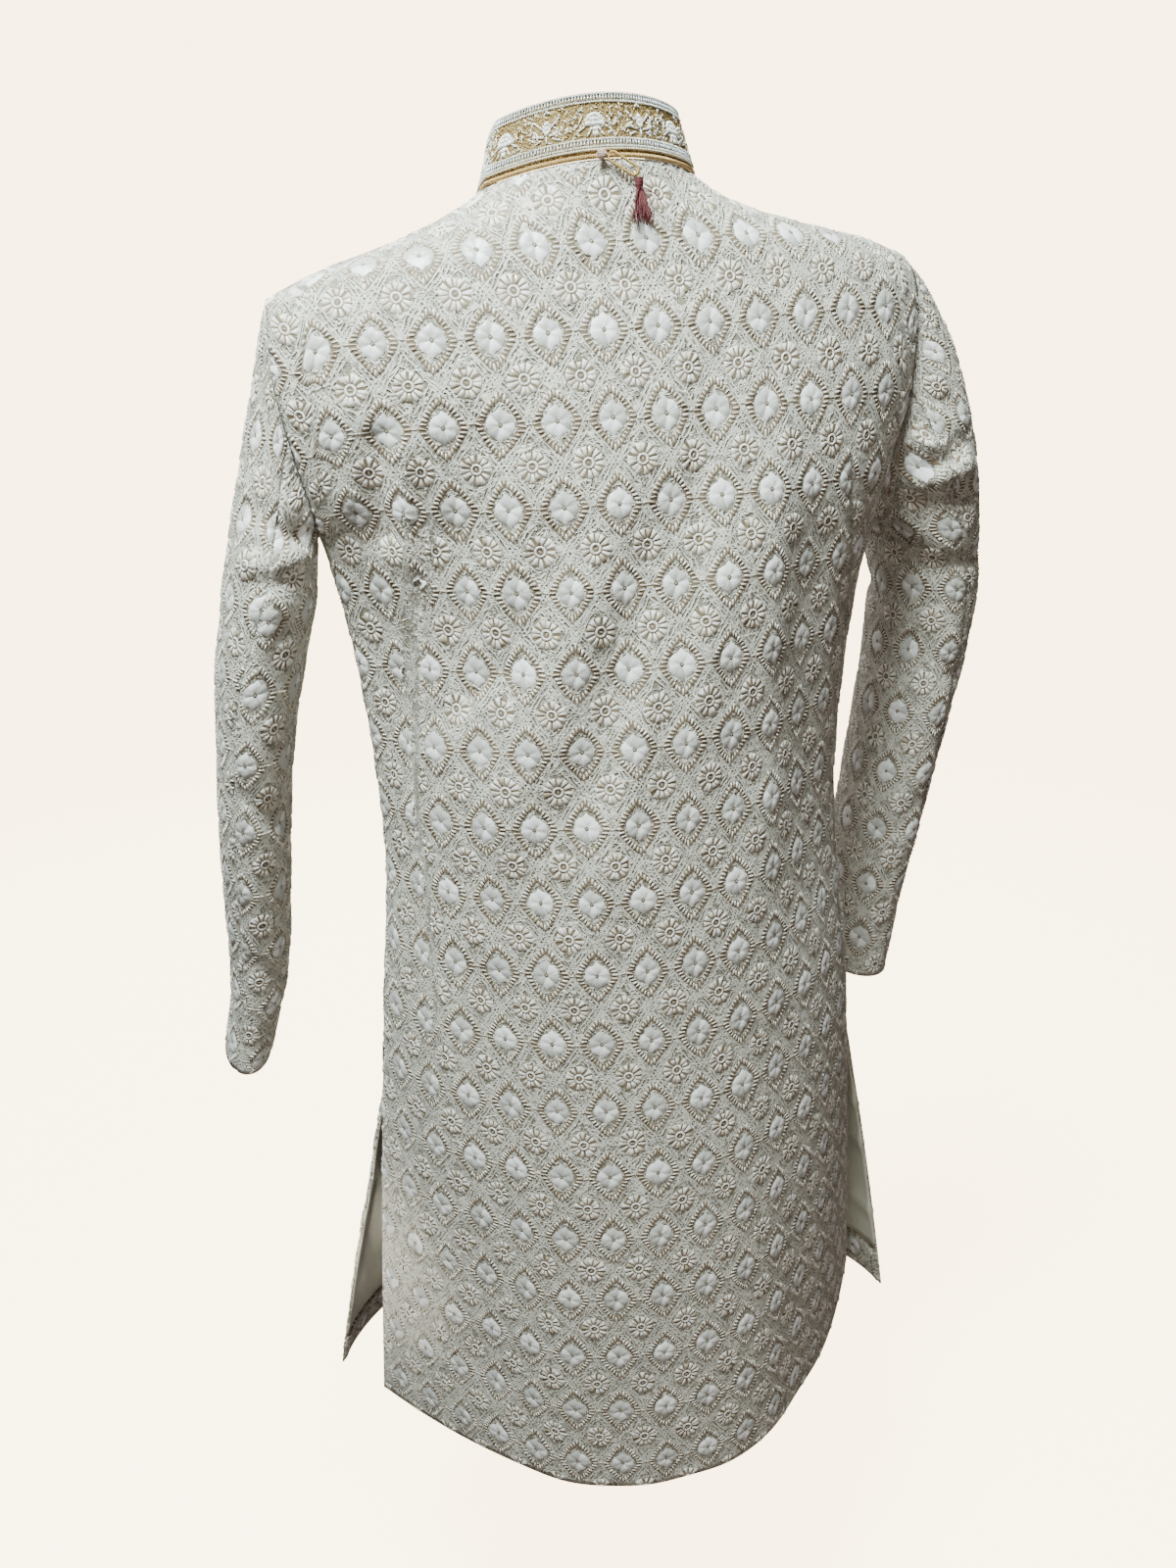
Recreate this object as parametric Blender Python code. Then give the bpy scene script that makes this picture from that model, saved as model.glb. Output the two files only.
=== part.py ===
"""Men's knee-length sherwani coat, worn shape, standing empty.

Metres, +Z up.  The front of the coat faces -Y and the wearer's left is +X.
The origin is the middle of the neck seam, where the coat rests on the wearer.
"""

import math

import bmesh
import bpy
import numpy as np
from mathutils import Vector

# ---- cloth
WALL = 0.0020            # embroidered cloth with its interlining
LINING_WALL = 0.0010     # satin lining
COLLAR_WALL = 0.0030     # stiffened, beaded collar
GAP = 0.0003             # space kept between neighbouring pieces

# ---- coat heights
HEM_Z = -1.029
SLIT_TOP_Z = -0.715      # both side slits open below this height
ARMHOLE_BASE_Z = -0.230
SHOULDER_TIP_X = 0.238
SHOULDER_SLANT = 0.030   # the right shoulder stands this much higher for its width
FACING_HEIGHT = 0.036    # turned-up hem of the fronts

# ---- neck seam
NECK_HALF_WIDTH = 0.075
NECK_BACK_Z = 0.004
NECK_SIDE_Z = -0.005
NECK_FRONT_Z = -0.075

# ---- collar and piping
COLLAR_HEIGHT = 0.036
COLLAR_LEAN = 0.011      # how far the top edge stands in from the foot
COLLAR_OPENING = 0.006   # space between the collar ends at centre front
PIPING_RADIUS = 0.0015

# ---- front closing, left over right
LEFT_EDGE = 0.040        # share of the half width that a front laps past centre
RIGHT_EDGE = 0.045
BUTTON_RADIUS = 0.0066
BUTTON_HEIGHT = 0.0042

# ---- skirt fronts below the slits
FRONT_FLARE = 0.029      # extra half width of the front at the hem
FRONT_SWAY = 0.009       # how far the front hem hangs to the left
FRONT_TURN = math.radians(-9.0)

# ---- hanging loop and tassel at the back neck
CORD_RADIUS = 0.0006
KNOT_RADIUS = 0.0032
TASSEL_HEAD_RADIUS = 0.0022
TASSEL_HEAD_HEIGHT = 0.0065
TASSEL_SKIRT_LENGTH = 0.024

# ---- mesh
PANEL_COLUMNS = 12       # from a centre line to a side seam
NECK_COLUMNS = 6         # of these, the ones under the neck seam
ARMHOLE_ROWS = 9         # from shoulder to underarm
SIDE_ROWS = 7            # from underarm to the top of the slits
SKIRT_ROWS = 4           # from there to the top of the turned-up hem
SLEEVE_CAP_ROWS = 4
HIND_SEAM = 5            # armhole row where the hind sleeve seam starts
FRONT_SEAM = 14          # counted on round the armhole

BODY_COLUMNS = ("z", "half_width", "shift", "back_depth", "back_power", "front_depth", "front_power")
BODY = (
    (0.020, 0.060, 0.008, 0.040, 0.58, 0.045, 0.50),
    (0.004, 0.068, 0.008, 0.0465, 0.58, 0.052, 0.50),
    (-0.005, 0.075, 0.008, 0.049, 0.58, 0.057, 0.50),
    (-0.012, 0.086, 0.008, 0.0505, 0.57, 0.061, 0.50),
    (-0.019, 0.100, 0.008, 0.0520, 0.56, 0.065, 0.50),
    (-0.029, 0.125, 0.006, 0.0545, 0.54, 0.071, 0.50),
    (-0.039, 0.160, 0.003, 0.0570, 0.52, 0.076, 0.50),
    (-0.047, 0.190, 0.001, 0.0595, 0.51, 0.079, 0.50),
    (-0.055, 0.214, 0.000, 0.0620, 0.50, 0.082, 0.50),
    (-0.067, 0.238, 0.000, 0.0650, 0.49, 0.085, 0.50),
    (-0.105, 0.252, 0.000, 0.0761, 0.47, 0.095, 0.50),
    (-0.150, 0.246, 0.000, 0.0870, 0.44, 0.105, 0.51),
    (-0.195, 0.232, 0.001, 0.0968, 0.44, 0.112, 0.52),
    (-0.235, 0.219, 0.001, 0.1035, 0.47, 0.116, 0.53),
    (-0.315, 0.2046, 0.002, 0.1145, 0.60, 0.122, 0.56),
    (-0.465, 0.1957, 0.004, 0.1320, 0.70, 0.122, 0.60),
    (-0.615, 0.2104, 0.005, 0.1482, 0.68, 0.130, 0.62),
    (-0.815, 0.2292, 0.009, 0.1709, 0.82, 0.145, 0.65),
    (-1.095, 0.2500, 0.015, 0.1877, 1.08, 0.172, 0.68),
)

ARMHOLE_COLUMNS = ("z", "back_x", "front_x")
ARMHOLE = (
    (-0.067, 0.2380, 0.2380),
    (-0.090, 0.2410, 0.2260),
    (-0.130, 0.2395, 0.2140),
    (-0.170, 0.2330, 0.2090),
    (-0.205, 0.2250, 0.2110),
    (-0.230, 0.2205, 0.2205),
)

SLEEVE_COLUMNS = ("z", "x", "y", "half_x", "half_y", "slide")
LEFT_SLEEVE = (
    (-0.285, 0.2640, -0.024, 0.0340, 0.066, 0.60),
    (-0.330, 0.2755, -0.028, 0.0325, 0.064, 0.85),
    (-0.377, 0.2845, -0.033, 0.0295, 0.062, 1.00),
    (-0.427, 0.2920, -0.040, 0.0285, 0.061, 1.00),
    (-0.480, 0.2985, -0.047, 0.0275, 0.059, 1.00),
    (-0.535, 0.3040, -0.054, 0.0262, 0.056, 1.00),
    (-0.594, 0.3105, -0.063, 0.0240, 0.053, 1.00),
    (-0.638, 0.3205, -0.070, 0.0210, 0.051, 1.00),
    (-0.676, 0.3310, -0.076, 0.0200, 0.050, 1.00),
)
RIGHT_SLEEVE = (
    (-0.285, 0.2920, -0.036, 0.0410, 0.063, 0.30),
    (-0.325, 0.2990, -0.042, 0.0400, 0.062, 0.45),
    (-0.380, 0.2975, -0.047, 0.0375, 0.061, 0.60),
    (-0.440, 0.2890, -0.050, 0.0350, 0.059, 0.70),
    (-0.503, 0.2790, -0.052, 0.0335, 0.057, 0.80),
    (-0.562, 0.2700, -0.054, 0.0320, 0.054, 0.90),
    (-0.615, 0.2620, -0.056, 0.0305, 0.051, 1.00),
    (-0.657, 0.2575, -0.057, 0.0295, 0.049, 1.00),
    (-0.696, 0.2530, -0.058, 0.0290, 0.048, 1.00),
)
SLEEVE_FULLNESS = {"left": 0.000, "right": 0.012}   # how far the sleeve head stands out


def table_value(rows, columns, name, z):
    """Value of one column at height z, on a smooth curve through the rows."""
    k = columns.index(name)
    zs = np.array([row[0] for row in rows])[::-1]
    vs = np.array([row[k] for row in rows])[::-1]
    z = min(max(z, zs[0]), zs[-1])
    slopes = np.diff(vs) / np.diff(zs)
    tangents = np.concatenate(([slopes[0]], 0.5 * (slopes[:-1] + slopes[1:]), [slopes[-1]]))
    turning = slopes[:-1] * slopes[1:] <= 0.0
    tangents[1:-1][turning] = 0.0
    i = int(np.clip(np.searchsorted(zs, z) - 1, 0, len(slopes) - 1))
    step = zs[i + 1] - zs[i]
    t = (z - zs[i]) / step
    return float(
        vs[i] * (1 + 2 * t) * (1 - t) ** 2
        + tangents[i] * step * t * (1 - t) ** 2
        + vs[i + 1] * t * t * (3 - 2 * t)
        + tangents[i + 1] * step * t * t * (t - 1)
    )


def body(name, z):
    return table_value(BODY, BODY_COLUMNS, name, z)


def section_point(side, x, z):
    """Point of the body section at height z, x metres from its middle."""
    part = min(abs(x) / body("half_width", z), 1.0)
    depth = body(side + "_depth", z) * (1 - part * part) ** body(side + "_power", z)
    out = 1 if side == "back" else -1
    high = min(max((z - ARMHOLE_BASE_Z) / 0.16, 0.0), 1.0)
    slant = SHOULDER_SLANT * x * high * high * (3 - 2 * high)
    return np.array((body("shift", z) + x, out * (depth + 0.5 * GAP), z - slant))


def shoulder_z(x):
    """Height of the shoulder seam, x metres from the centre line."""
    low, high = -0.080, NECK_SIDE_Z
    for _ in range(40):
        middle = 0.5 * (low + high)
        if body("half_width", middle) > x:
            low = middle
        else:
            high = middle
    return 0.5 * (low + high)


def top_z(side, x):
    """Height of the top edge of a panel: neck seam, then shoulder seam."""
    x = abs(x)
    if x >= NECK_HALF_WIDTH:
        return shoulder_z(x)
    part = x / NECK_HALF_WIDTH
    if side == "back":
        return NECK_SIDE_Z + (NECK_BACK_Z - NECK_SIDE_Z) * (1 - part * part)
    return NECK_FRONT_Z + (NECK_SIDE_Z - NECK_FRONT_Z) * (1 - math.sqrt(1 - part * part))


def upper_point(side, across, down):
    """Point between the top edge (down 0) and the armhole base (down 1).

    across runs from 0 at the centre line to 1 at the armhole.
    """
    sign = 1 if across >= 0 else -1
    across = abs(across)
    neck_part = NECK_COLUMNS / PANEL_COLUMNS
    if across < neck_part:
        top_x = NECK_HALF_WIDTH * math.sin(0.5 * math.pi * across / neck_part)
    else:
        beyond = (across - neck_part) / (1 - neck_part)
        top_x = NECK_HALF_WIDTH + (SHOULDER_TIP_X - NECK_HALF_WIDTH) * beyond
    z = top_z(side, top_x) * (1 - down) + ARMHOLE_BASE_Z * down
    edge_z = shoulder_z(SHOULDER_TIP_X) * (1 - down) + ARMHOLE_BASE_Z * down
    edge_x = table_value(ARMHOLE, ARMHOLE_COLUMNS, side + "_x", edge_z)
    even = down * down * (3 - 2 * down)
    spread = (1 - even) * top_x / SHOULDER_TIP_X + even * math.sin(across * math.pi / 2)
    if down >= 1.0:
        edge_x = body("half_width", ARMHOLE_BASE_Z)
    return section_point(side, sign * edge_x * spread, z)


def lower_point(side, across, z):
    """Point between the armhole base and the hem."""
    below = max(0.0, (SLIT_TOP_Z - z) / (SLIT_TOP_Z - HEM_Z))
    swing = max(0.0, (below - 0.25) / 0.75)
    part = math.sin(across * math.pi / 2)
    half = body("half_width", z)
    point = section_point(side, half * part, z)
    if side == "front":
        shift = body("shift", z)
        point[0] = shift + (half + FRONT_FLARE * below ** 0.7) * part
        shift += FRONT_SWAY * swing
        turn = FRONT_TURN * swing
        x = point[0] - body("shift", z)
        y = point[1]
        point[0] = shift + x * math.cos(turn) - y * math.sin(turn)
        point[1] = x * math.sin(turn) + y * math.cos(turn)
    return point


def row_heights():
    """Heights of the panel rows below the armhole."""
    facing_top = HEM_Z + FACING_HEIGHT
    side = np.linspace(ARMHOLE_BASE_Z, SLIT_TOP_Z, SIDE_ROWS + 1)[1:]
    skirt = np.linspace(SLIT_TOP_Z, facing_top, SKIRT_ROWS + 1)[1:]
    return [*side, *skirt, HEM_Z]


def panel_points(side, across_values):
    """Rows of points of a body panel, from its top edge to the hem."""
    rows = []
    for i in range(ARMHOLE_ROWS + 1):
        down = i / ARMHOLE_ROWS
        rows.append([upper_point(side, a, down) for a in across_values])
    for z in row_heights():
        rows.append([lower_point(side, a, z) for a in across_values])
    return np.array(rows)


def grid_normals(points, outward, closed=False):
    """Unit normals of a grid of points, turned to the side of outward."""
    if closed:
        along = np.roll(points, -1, axis=1) - np.roll(points, 1, axis=1)
    else:
        along = np.gradient(points, axis=1)
    down = np.gradient(points, axis=0)
    normals = np.cross(down, along)
    normals /= np.linalg.norm(normals, axis=2, keepdims=True)
    if np.sum(normals * outward) < 0:
        normals = -normals
    return normals


def panel_normals(points, seam_columns):
    """Normals of a body panel; both panels share them along a seam."""
    outward = points * np.array((1.0, 1.0, 0.0))
    normals = grid_normals(points, outward)
    seam_rows = [0, *range(ARMHOLE_ROWS, ARMHOLE_ROWS + SIDE_ROWS + 1)]
    for c in seam_columns:
        for r in seam_rows:
            normals[r, c, 1] = 0.0
    on_shoulder = np.abs(points[0, :, 1]) < GAP
    normals[0, on_shoulder, 1] = 0.0
    return normals / np.linalg.norm(normals, axis=2, keepdims=True)


def material(name, colour, roughness, metallic=0.0):
    """Principled material from an sRGB colour."""
    mat = bpy.data.materials.new(name)
    mat.use_nodes = True
    shader = mat.node_tree.nodes["Principled BSDF"]
    linear = [c / 12.92 if c <= 0.04045 else ((c + 0.055) / 1.055) ** 2.4 for c in colour]
    shader.inputs["Base Color"].default_value = (*linear, 1.0)
    shader.inputs["Roughness"].default_value = roughness
    shader.inputs["Metallic"].default_value = metallic
    return mat


def add_object(name, mesh, mat):
    obj = bpy.data.objects.new(name, mesh)
    obj.data.materials.append(mat)
    bpy.context.scene.collection.objects.link(obj)
    return obj


def finish_mesh(bm, name, mat, sharp_degrees=40.0):
    """Close a bmesh into a named object with smooth faces."""
    bmesh.ops.recalc_face_normals(bm, faces=bm.faces[:])
    mesh = bpy.data.meshes.new(name)
    bm.to_mesh(mesh)
    bm.free()
    mesh.shade_smooth()
    mesh.set_sharp_from_angle(angle=math.radians(sharp_degrees))
    return add_object(name, mesh, mat)


def wall(name, points, normals, thickness, mat, lift=0.0):
    """Wall of even thickness whose outer face is the grid of points."""
    rows, columns = points.shape[:2]
    bm = bmesh.new()
    bmesh.ops.create_grid(bm, x_segments=columns - 1, y_segments=rows - 1, size=1.0)
    bm.verts.ensure_lookup_table()
    place = bm.verts.layers.int.new("place")
    for vert in bm.verts:
        c = round((vert.co.x + 1) / 2 * (columns - 1))
        r = round((vert.co.y + 1) / 2 * (rows - 1))
        vert[place] = r * columns + c
    sheet = bm.verts[:] + bm.edges[:] + bm.faces[:]
    made = bmesh.ops.extrude_face_region(bm, geom=sheet)["geom"]
    inner = {v for v in made if isinstance(v, bmesh.types.BMVert)}
    for vert in bm.verts:
        r, c = divmod(vert[place], columns)
        depth = lift - (thickness if vert in inner else 0.0)
        vert.co = Vector(points[r, c] + normals[r, c] * depth)
    return finish_mesh(bm, name, mat)


def armhole_loop(side_sign, back, front):
    """Edge values of the armhole: down the back edge, up the front edge."""
    back_edge = back[: ARMHOLE_ROWS + 1, -1 if side_sign > 0 else 0]
    front_edge = front[: ARMHOLE_ROWS + 1, -1]
    return np.concatenate((back_edge, front_edge[1:-1][::-1]))


def sleeve_section(table, side_sign, z):
    """Ring of points of the sleeve tube at height z, in armhole order."""
    count = 2 * ARMHOLE_ROWS
    value = {name: table_value(table, SLEEVE_COLUMNS, name, z) for name in SLEEVE_COLUMNS[1:]}
    ring = []
    for j in range(count):
        if j <= HIND_SEAM:
            pull = j / HIND_SEAM
        else:
            pull = max(0.0, 1 - (j - HIND_SEAM) / (ARMHOLE_ROWS - HIND_SEAM))
        angle = math.radians(360.0 * j / count - 48.0 * value["slide"] * pull)
        x = value["x"] + value["half_x"] * math.cos(angle)
        y = value["y"] + value["half_y"] * math.sin(angle)
        ring.append((side_sign * x, y, z))
    return np.array(ring)


def sleeve_points(table, side_sign, loop, fullness):
    """Rows of rings from the armhole to the cuff."""
    first_z = table[0][0]
    first = sleeve_section(table, side_sign, first_z)
    below = sleeve_section(table, side_sign, first_z - 0.01)
    spoke = loop - loop.mean(axis=0)
    spoke /= np.linalg.norm(spoke, axis=1, keepdims=True)
    spoke[:, 0] += side_sign * np.clip(spoke[:, 2], 0.0, 1.0)
    drop = np.linalg.norm(first - loop, axis=1, keepdims=True)
    start = (first - loop) + 6.0 * fullness * spoke
    end = (below - first) / 0.01 * drop
    rows = [loop]
    for i in range(1, SLEEVE_CAP_ROWS):
        t = i / SLEEVE_CAP_ROWS
        rows.append(
            loop * (1 + 2 * t) * (1 - t) ** 2
            + start * t * (1 - t) ** 2
            + first * t * t * (3 - 2 * t)
            + end * t * t * (t - 1)
        )
    rows += [sleeve_section(table, side_sign, row[0]) for row in table]
    return np.array(rows)


def build_sleeve(word, table, side_sign, back, front, mat):
    """Both pieces of one sleeve; back and front are (points, normals)."""
    loop = armhole_loop(side_sign, back[0], front[0])
    loop[0, 1] = 0.0
    loop[ARMHOLE_ROWS, 1] = 0.0
    loop[:, 0] += side_sign * 1.5 * GAP
    points = sleeve_points(table, side_sign, loop, SLEEVE_FULLNESS[word])
    outward = points - points.mean(axis=1, keepdims=True)
    normals = grid_normals(points, outward, closed=True)
    count = points.shape[1]
    from_top = np.clip(np.cos(2 * math.pi * np.arange(count) / count), 0.0, 1.0)[:, None]
    panel_side = armhole_loop(side_sign, back[1], front[1])
    normals[0] = normals[0] * (1 - from_top) + panel_side * from_top
    normals[0] /= np.linalg.norm(normals[0], axis=1, keepdims=True)
    pieces = (
        ("top_sleeve_" + word, [j % count for j in range(FRONT_SEAM, count + HIND_SEAM + 1)]),
        ("under_sleeve_" + word, list(range(HIND_SEAM, FRONT_SEAM + 1))),
    )
    for name, columns in pieces:
        piece = points[:, columns].copy()
        step_in = piece[:, 1] - piece[:, 0]
        piece[:, 0] += step_in / np.linalg.norm(step_in, axis=1, keepdims=True) * 0.9 * GAP
        step_in = piece[:, -2] - piece[:, -1]
        piece[:, -1] += step_in / np.linalg.norm(step_in, axis=1, keepdims=True) * 0.9 * GAP
        wall(name, piece, normals[:, columns], WALL, mat)


def half_neck(panel, sign, back_half):
    """Neck seam from a collar end to the centre back, on the panels' edges."""
    lap, first = panel[0, 0], panel[0, 1]
    centre = 0.5 * (panel[0, 0, 0] + panel[0, 1, 0])
    end_x = centre + sign * 0.5 * COLLAR_OPENING
    end = lap + (first - lap) * (end_x - lap[0]) / (first[0] - lap[0])
    neck_last = panel.shape[1] - (PANEL_COLUMNS - NECK_COLUMNS)
    return np.concatenate((end[None], panel[0, 1:neck_last], back_half))


def neck_curve(back, left, right):
    """Points of the neck seam, from the left collar end round the back."""
    middle = back.shape[1] // 2
    left_back = back[0, middle : middle + NECK_COLUMNS][::-1]
    right_back = back[0, middle - NECK_COLUMNS + 1 : middle]
    left_half = half_neck(left, 1, left_back)
    right_half = half_neck(right, -1, right_back)
    return np.concatenate((left_half, right_half[::-1]))


def neck_frame(curve):
    """Level outward direction and upward direction, both square to the neck curve."""
    along = np.gradient(curve, axis=0)
    out = np.cross(along, np.array((0.0, 0.0, 1.0)))
    out /= np.linalg.norm(out, axis=1, keepdims=True)
    up = np.cross(out, along)
    up /= np.linalg.norm(up, axis=1, keepdims=True)
    middle = len(curve) // 2
    return out * np.sign(out[middle, 1]), up * np.sign(up[middle, 2])


def build_collar(curve, mat):
    out, up = neck_frame(curve)
    foot_lift = 2 * PIPING_RADIUS + 2.2 * GAP
    rows = []
    for part in (1.0, 0.55, 0.0):
        row = curve + up * foot_lift - out * COLLAR_LEAN * part
        row[:, 2] += COLLAR_HEIGHT * part
        rows.append(row)
    points = np.array(rows)
    normals = np.repeat(out[None], len(rows), axis=0)
    wall("collar", points, normals, COLLAR_WALL, mat)


def tube(name, route, radius, mat, resolution=1, closed=False):
    """Round cord along a route of points, with filled ends."""
    curve = bpy.data.curves.new(name, "CURVE")
    curve.dimensions = "3D"
    curve.bevel_depth = radius
    curve.bevel_resolution = resolution
    curve.use_fill_caps = True
    spline = curve.splines.new("POLY")
    spline.points.add(len(route) - 1)
    for point, place in zip(spline.points, route):
        point.co = (*place, 1.0)
    spline.use_cyclic_u = closed
    return add_object(name, curve, mat)


def build_piping(curve, mat):
    up = neck_frame(curve)[1]
    tube("neck_piping", curve + up * (PIPING_RADIUS + 1.2 * GAP), PIPING_RADIUS, mat)


def build_button(name, place, normal, mat):
    """Plain domed button with its flat side to the cloth."""
    bm = bmesh.new()
    profile = []
    for i in range(4):
        angle = math.pi / 2 * i / 3
        x = BUTTON_RADIUS * math.cos(angle)
        z = 0.3 * BUTTON_HEIGHT + 0.7 * BUTTON_HEIGHT * math.sin(angle)
        profile.append((x, 0.0, z))
    profile = [(0.0, 0.0, 0.0), (BUTTON_RADIUS * 0.94, 0.0, 0.0)] + profile
    profile[-1] = (0.0, 0.0, BUTTON_HEIGHT)
    verts = [bm.verts.new(p) for p in profile]
    edges = [bm.edges.new(pair) for pair in zip(verts, verts[1:])]
    bmesh.ops.spin(
        bm, geom=verts + edges, cent=(0, 0, 0), axis=(0, 0, 1),
        angle=2 * math.pi, steps=10, use_merge=True,
    )
    bmesh.ops.remove_doubles(bm, verts=bm.verts[:], dist=0.00001)
    turn = Vector((0, 0, 1)).rotation_difference(Vector(normal)).to_matrix().to_4x4()
    bmesh.ops.transform(bm, matrix=turn, verts=bm.verts[:])
    bmesh.ops.translate(bm, vec=Vector(place), verts=bm.verts[:])
    finish_mesh(bm, name, mat)


def build_tassel(mats):
    """Wrapped knot on the neck seam, two-strand loop and thread tassel."""
    knot = section_point("back", 0.008, NECK_BACK_Z)
    knot = knot + np.array((0.0, 0.0044, 0.0022))
    bm = bmesh.new()
    bmesh.ops.create_uvsphere(bm, u_segments=10, v_segments=6, radius=KNOT_RADIUS)
    bmesh.ops.scale(bm, vec=(1.15, 0.72, 0.9), verts=bm.verts[:])
    bmesh.ops.translate(bm, vec=Vector(knot), verts=bm.verts[:])
    finish_mesh(bm, "loop_knot", mats["cord"])

    head_top = section_point("back", -0.0165, -0.0085) + np.array((0.0, 0.0046, 0.0))
    bm = bmesh.new()
    bmesh.ops.create_cone(
        bm, cap_ends=True, segments=10, radius1=TASSEL_HEAD_RADIUS * 1.1,
        radius2=TASSEL_HEAD_RADIUS * 0.7, depth=TASSEL_HEAD_HEIGHT,
    )
    head = head_top - np.array((0.0, 0.0, 0.5 * TASSEL_HEAD_HEIGHT))
    bmesh.ops.translate(bm, vec=Vector(head), verts=bm.verts[:])
    finish_mesh(bm, "tassel_head", mats["tassel"])

    skirt_top = head_top - np.array((0.0, 0.0, TASSEL_HEAD_HEIGHT + GAP))
    bm = bmesh.new()
    bmesh.ops.create_cone(
        bm, cap_ends=True, segments=12, radius1=TASSEL_HEAD_RADIUS * 2.3,
        radius2=TASSEL_HEAD_RADIUS * 1.05, depth=TASSEL_SKIRT_LENGTH,
    )
    bmesh.ops.scale(bm, vec=(1.0, 0.55, 1.0), verts=bm.verts[:])
    lean = TASSEL_SKIRT_LENGTH * 0.32
    for vert in bm.verts:
        drop = 0.5 - vert.co.z / TASSEL_SKIRT_LENGTH
        vert.co.y += lean * drop
        vert.co.x += 0.15 * lean * drop
    skirt = skirt_top - np.array((0.0, 0.0, 0.5 * TASSEL_SKIRT_LENGTH))
    bmesh.ops.translate(bm, vec=Vector(skirt), verts=bm.verts[:])
    finish_mesh(bm, "tassel_skirt", mats["tassel"])

    start = knot + np.array((-KNOT_RADIUS * 1.15 - CORD_RADIUS - GAP, 0.0, 0.0))
    end = head_top + np.array((0.0006, 0.0, 2.5 * CORD_RADIUS + GAP))
    span = end - start
    side = np.array((span[2], 0.0, -span[0]))
    side /= np.linalg.norm(side)
    route = []
    for i in range(25):
        turn = math.pi * 2 * (i + 0.5) / 25
        along = 0.5 - 0.5 * math.cos(turn)
        bulge = math.sin(turn) * 0.0042
        place = start + span * along + side * bulge
        cloth = section_point("back", place[0], place[2])
        place[1] = max(place[1], cloth[1] + CORD_RADIUS + 0.0012)
        route.append(place)
    tube("hanging_loop", route, CORD_RADIUS, mats["cord"], resolution=2)


def build_buttons(left, mat):
    """Buttons down the edge of the left front, one to a row of the panel."""
    last = ARMHOLE_ROWS + SIDE_ROWS - 1
    number = 0
    for r in [1, 4, 7, *range(ARMHOLE_ROWS, last)]:
        number += 1
        corners = left[r : r + 2, 0:2].reshape(-1, 3)
        low, high = corners[:, 0].min(), corners[:, 0].max()
        share = min(max((body("shift", corners[0, 2]) - low) / (high - low), 0.0), 1.0)
        top = corners[0] + (corners[1] - corners[0]) * share
        bottom = corners[2] + (corners[3] - corners[2]) * share
        normal = np.cross(bottom - top, corners[1] - corners[0])
        normal /= np.linalg.norm(normal)
        if normal[1] > 0:
            normal = -normal
        build_button(f"button_{number}", 0.5 * (top + bottom) + normal * 1.5 * GAP, normal, mat)


def build_front_insides(word, points, normals, mats):
    """Skirt lining and turned-up hem behind one front, short of its slit edge."""
    slit_row = ARMHOLE_ROWS + SIDE_ROWS
    facing_row = slit_row + SKIRT_ROWS
    inner = points.copy()
    step_in = inner[:, -2] - inner[:, -1]
    inner[:, -1] += step_in / np.linalg.norm(step_in, axis=1, keepdims=True) * 0.003
    lining = inner[slit_row - 1 : facing_row + 1, -PANEL_COLUMNS:].copy()
    lining[-1, :, 2] += 0.5 * GAP
    facing = inner[facing_row:, -PANEL_COLUMNS:].copy()
    facing[0, :, 2] -= 0.5 * GAP
    facing[-1, :, 2] += 2 * GAP
    lift = -(WALL + GAP)
    lining_normals = normals[slit_row - 1 : facing_row + 1, -PANEL_COLUMNS:]
    wall("lining_" + word, lining, lining_normals, LINING_WALL, mats["lining"], lift)
    wall("facing_" + word, facing, normals[facing_row:, -PANEL_COLUMNS:], WALL, mats["cloth"], lift)


def build_coat():
    mats = {
        "cloth": material("embroidered_cloth", (0.80, 0.80, 0.76), 0.62),
        "lining": material("satin_lining", (0.66, 0.66, 0.59), 0.38),
        "collar": material("beaded_collar", (0.66, 0.57, 0.40), 0.50),
        "piping": material("gold_piping", (0.80, 0.63, 0.38), 0.45),
        "cord": material("cream_cord", (0.84, 0.76, 0.64), 0.60),
        "tassel": material("maroon_thread", (0.36, 0.07, 0.11), 0.60),
        "button": material("metal_button", (0.78, 0.66, 0.42), 0.35, 1.0),
    }
    half = [i / PANEL_COLUMNS for i in range(PANEL_COLUMNS + 1)]
    back = panel_points("back", [-a for a in half[:0:-1]] + half)
    back_normals = panel_normals(back, (0, -1))
    wall("back", back, back_normals, WALL, mats["cloth"])

    left = panel_points("front", [-LEFT_EDGE, 0.050, *half[1:]])
    left_normals = panel_normals(left, (-1,))
    wall("front_left", left, left_normals, WALL, mats["cloth"])

    right = panel_points("front", [RIGHT_EDGE, -RIGHT_EDGE, -0.065, *[-a for a in half[1:]]])
    right_normals = panel_normals(right, (-1,))
    under = right.copy()
    under[:, :2] -= right_normals[:, :2] * (WALL + 2 * GAP)
    wall("front_right", under, right_normals, WALL, mats["cloth"])

    build_front_insides("left", left, left_normals, mats)
    build_front_insides("right", right, right_normals, mats)
    back_pair = (back, back_normals)
    build_sleeve("left", LEFT_SLEEVE, 1, back_pair, (left, left_normals), mats["cloth"])
    build_sleeve("right", RIGHT_SLEEVE, -1, back_pair, (right, right_normals), mats["cloth"])
    neck = neck_curve(back, left, right)
    build_collar(neck, mats["collar"])
    build_piping(neck, mats["piping"])
    build_buttons(left, mats["button"])
    build_tassel(mats)


def clear_scene():
    for obj in list(bpy.data.objects):
        bpy.data.objects.remove(obj, do_unlink=True)


if __name__ == "__main__":
    clear_scene()
    build_coat()
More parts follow.
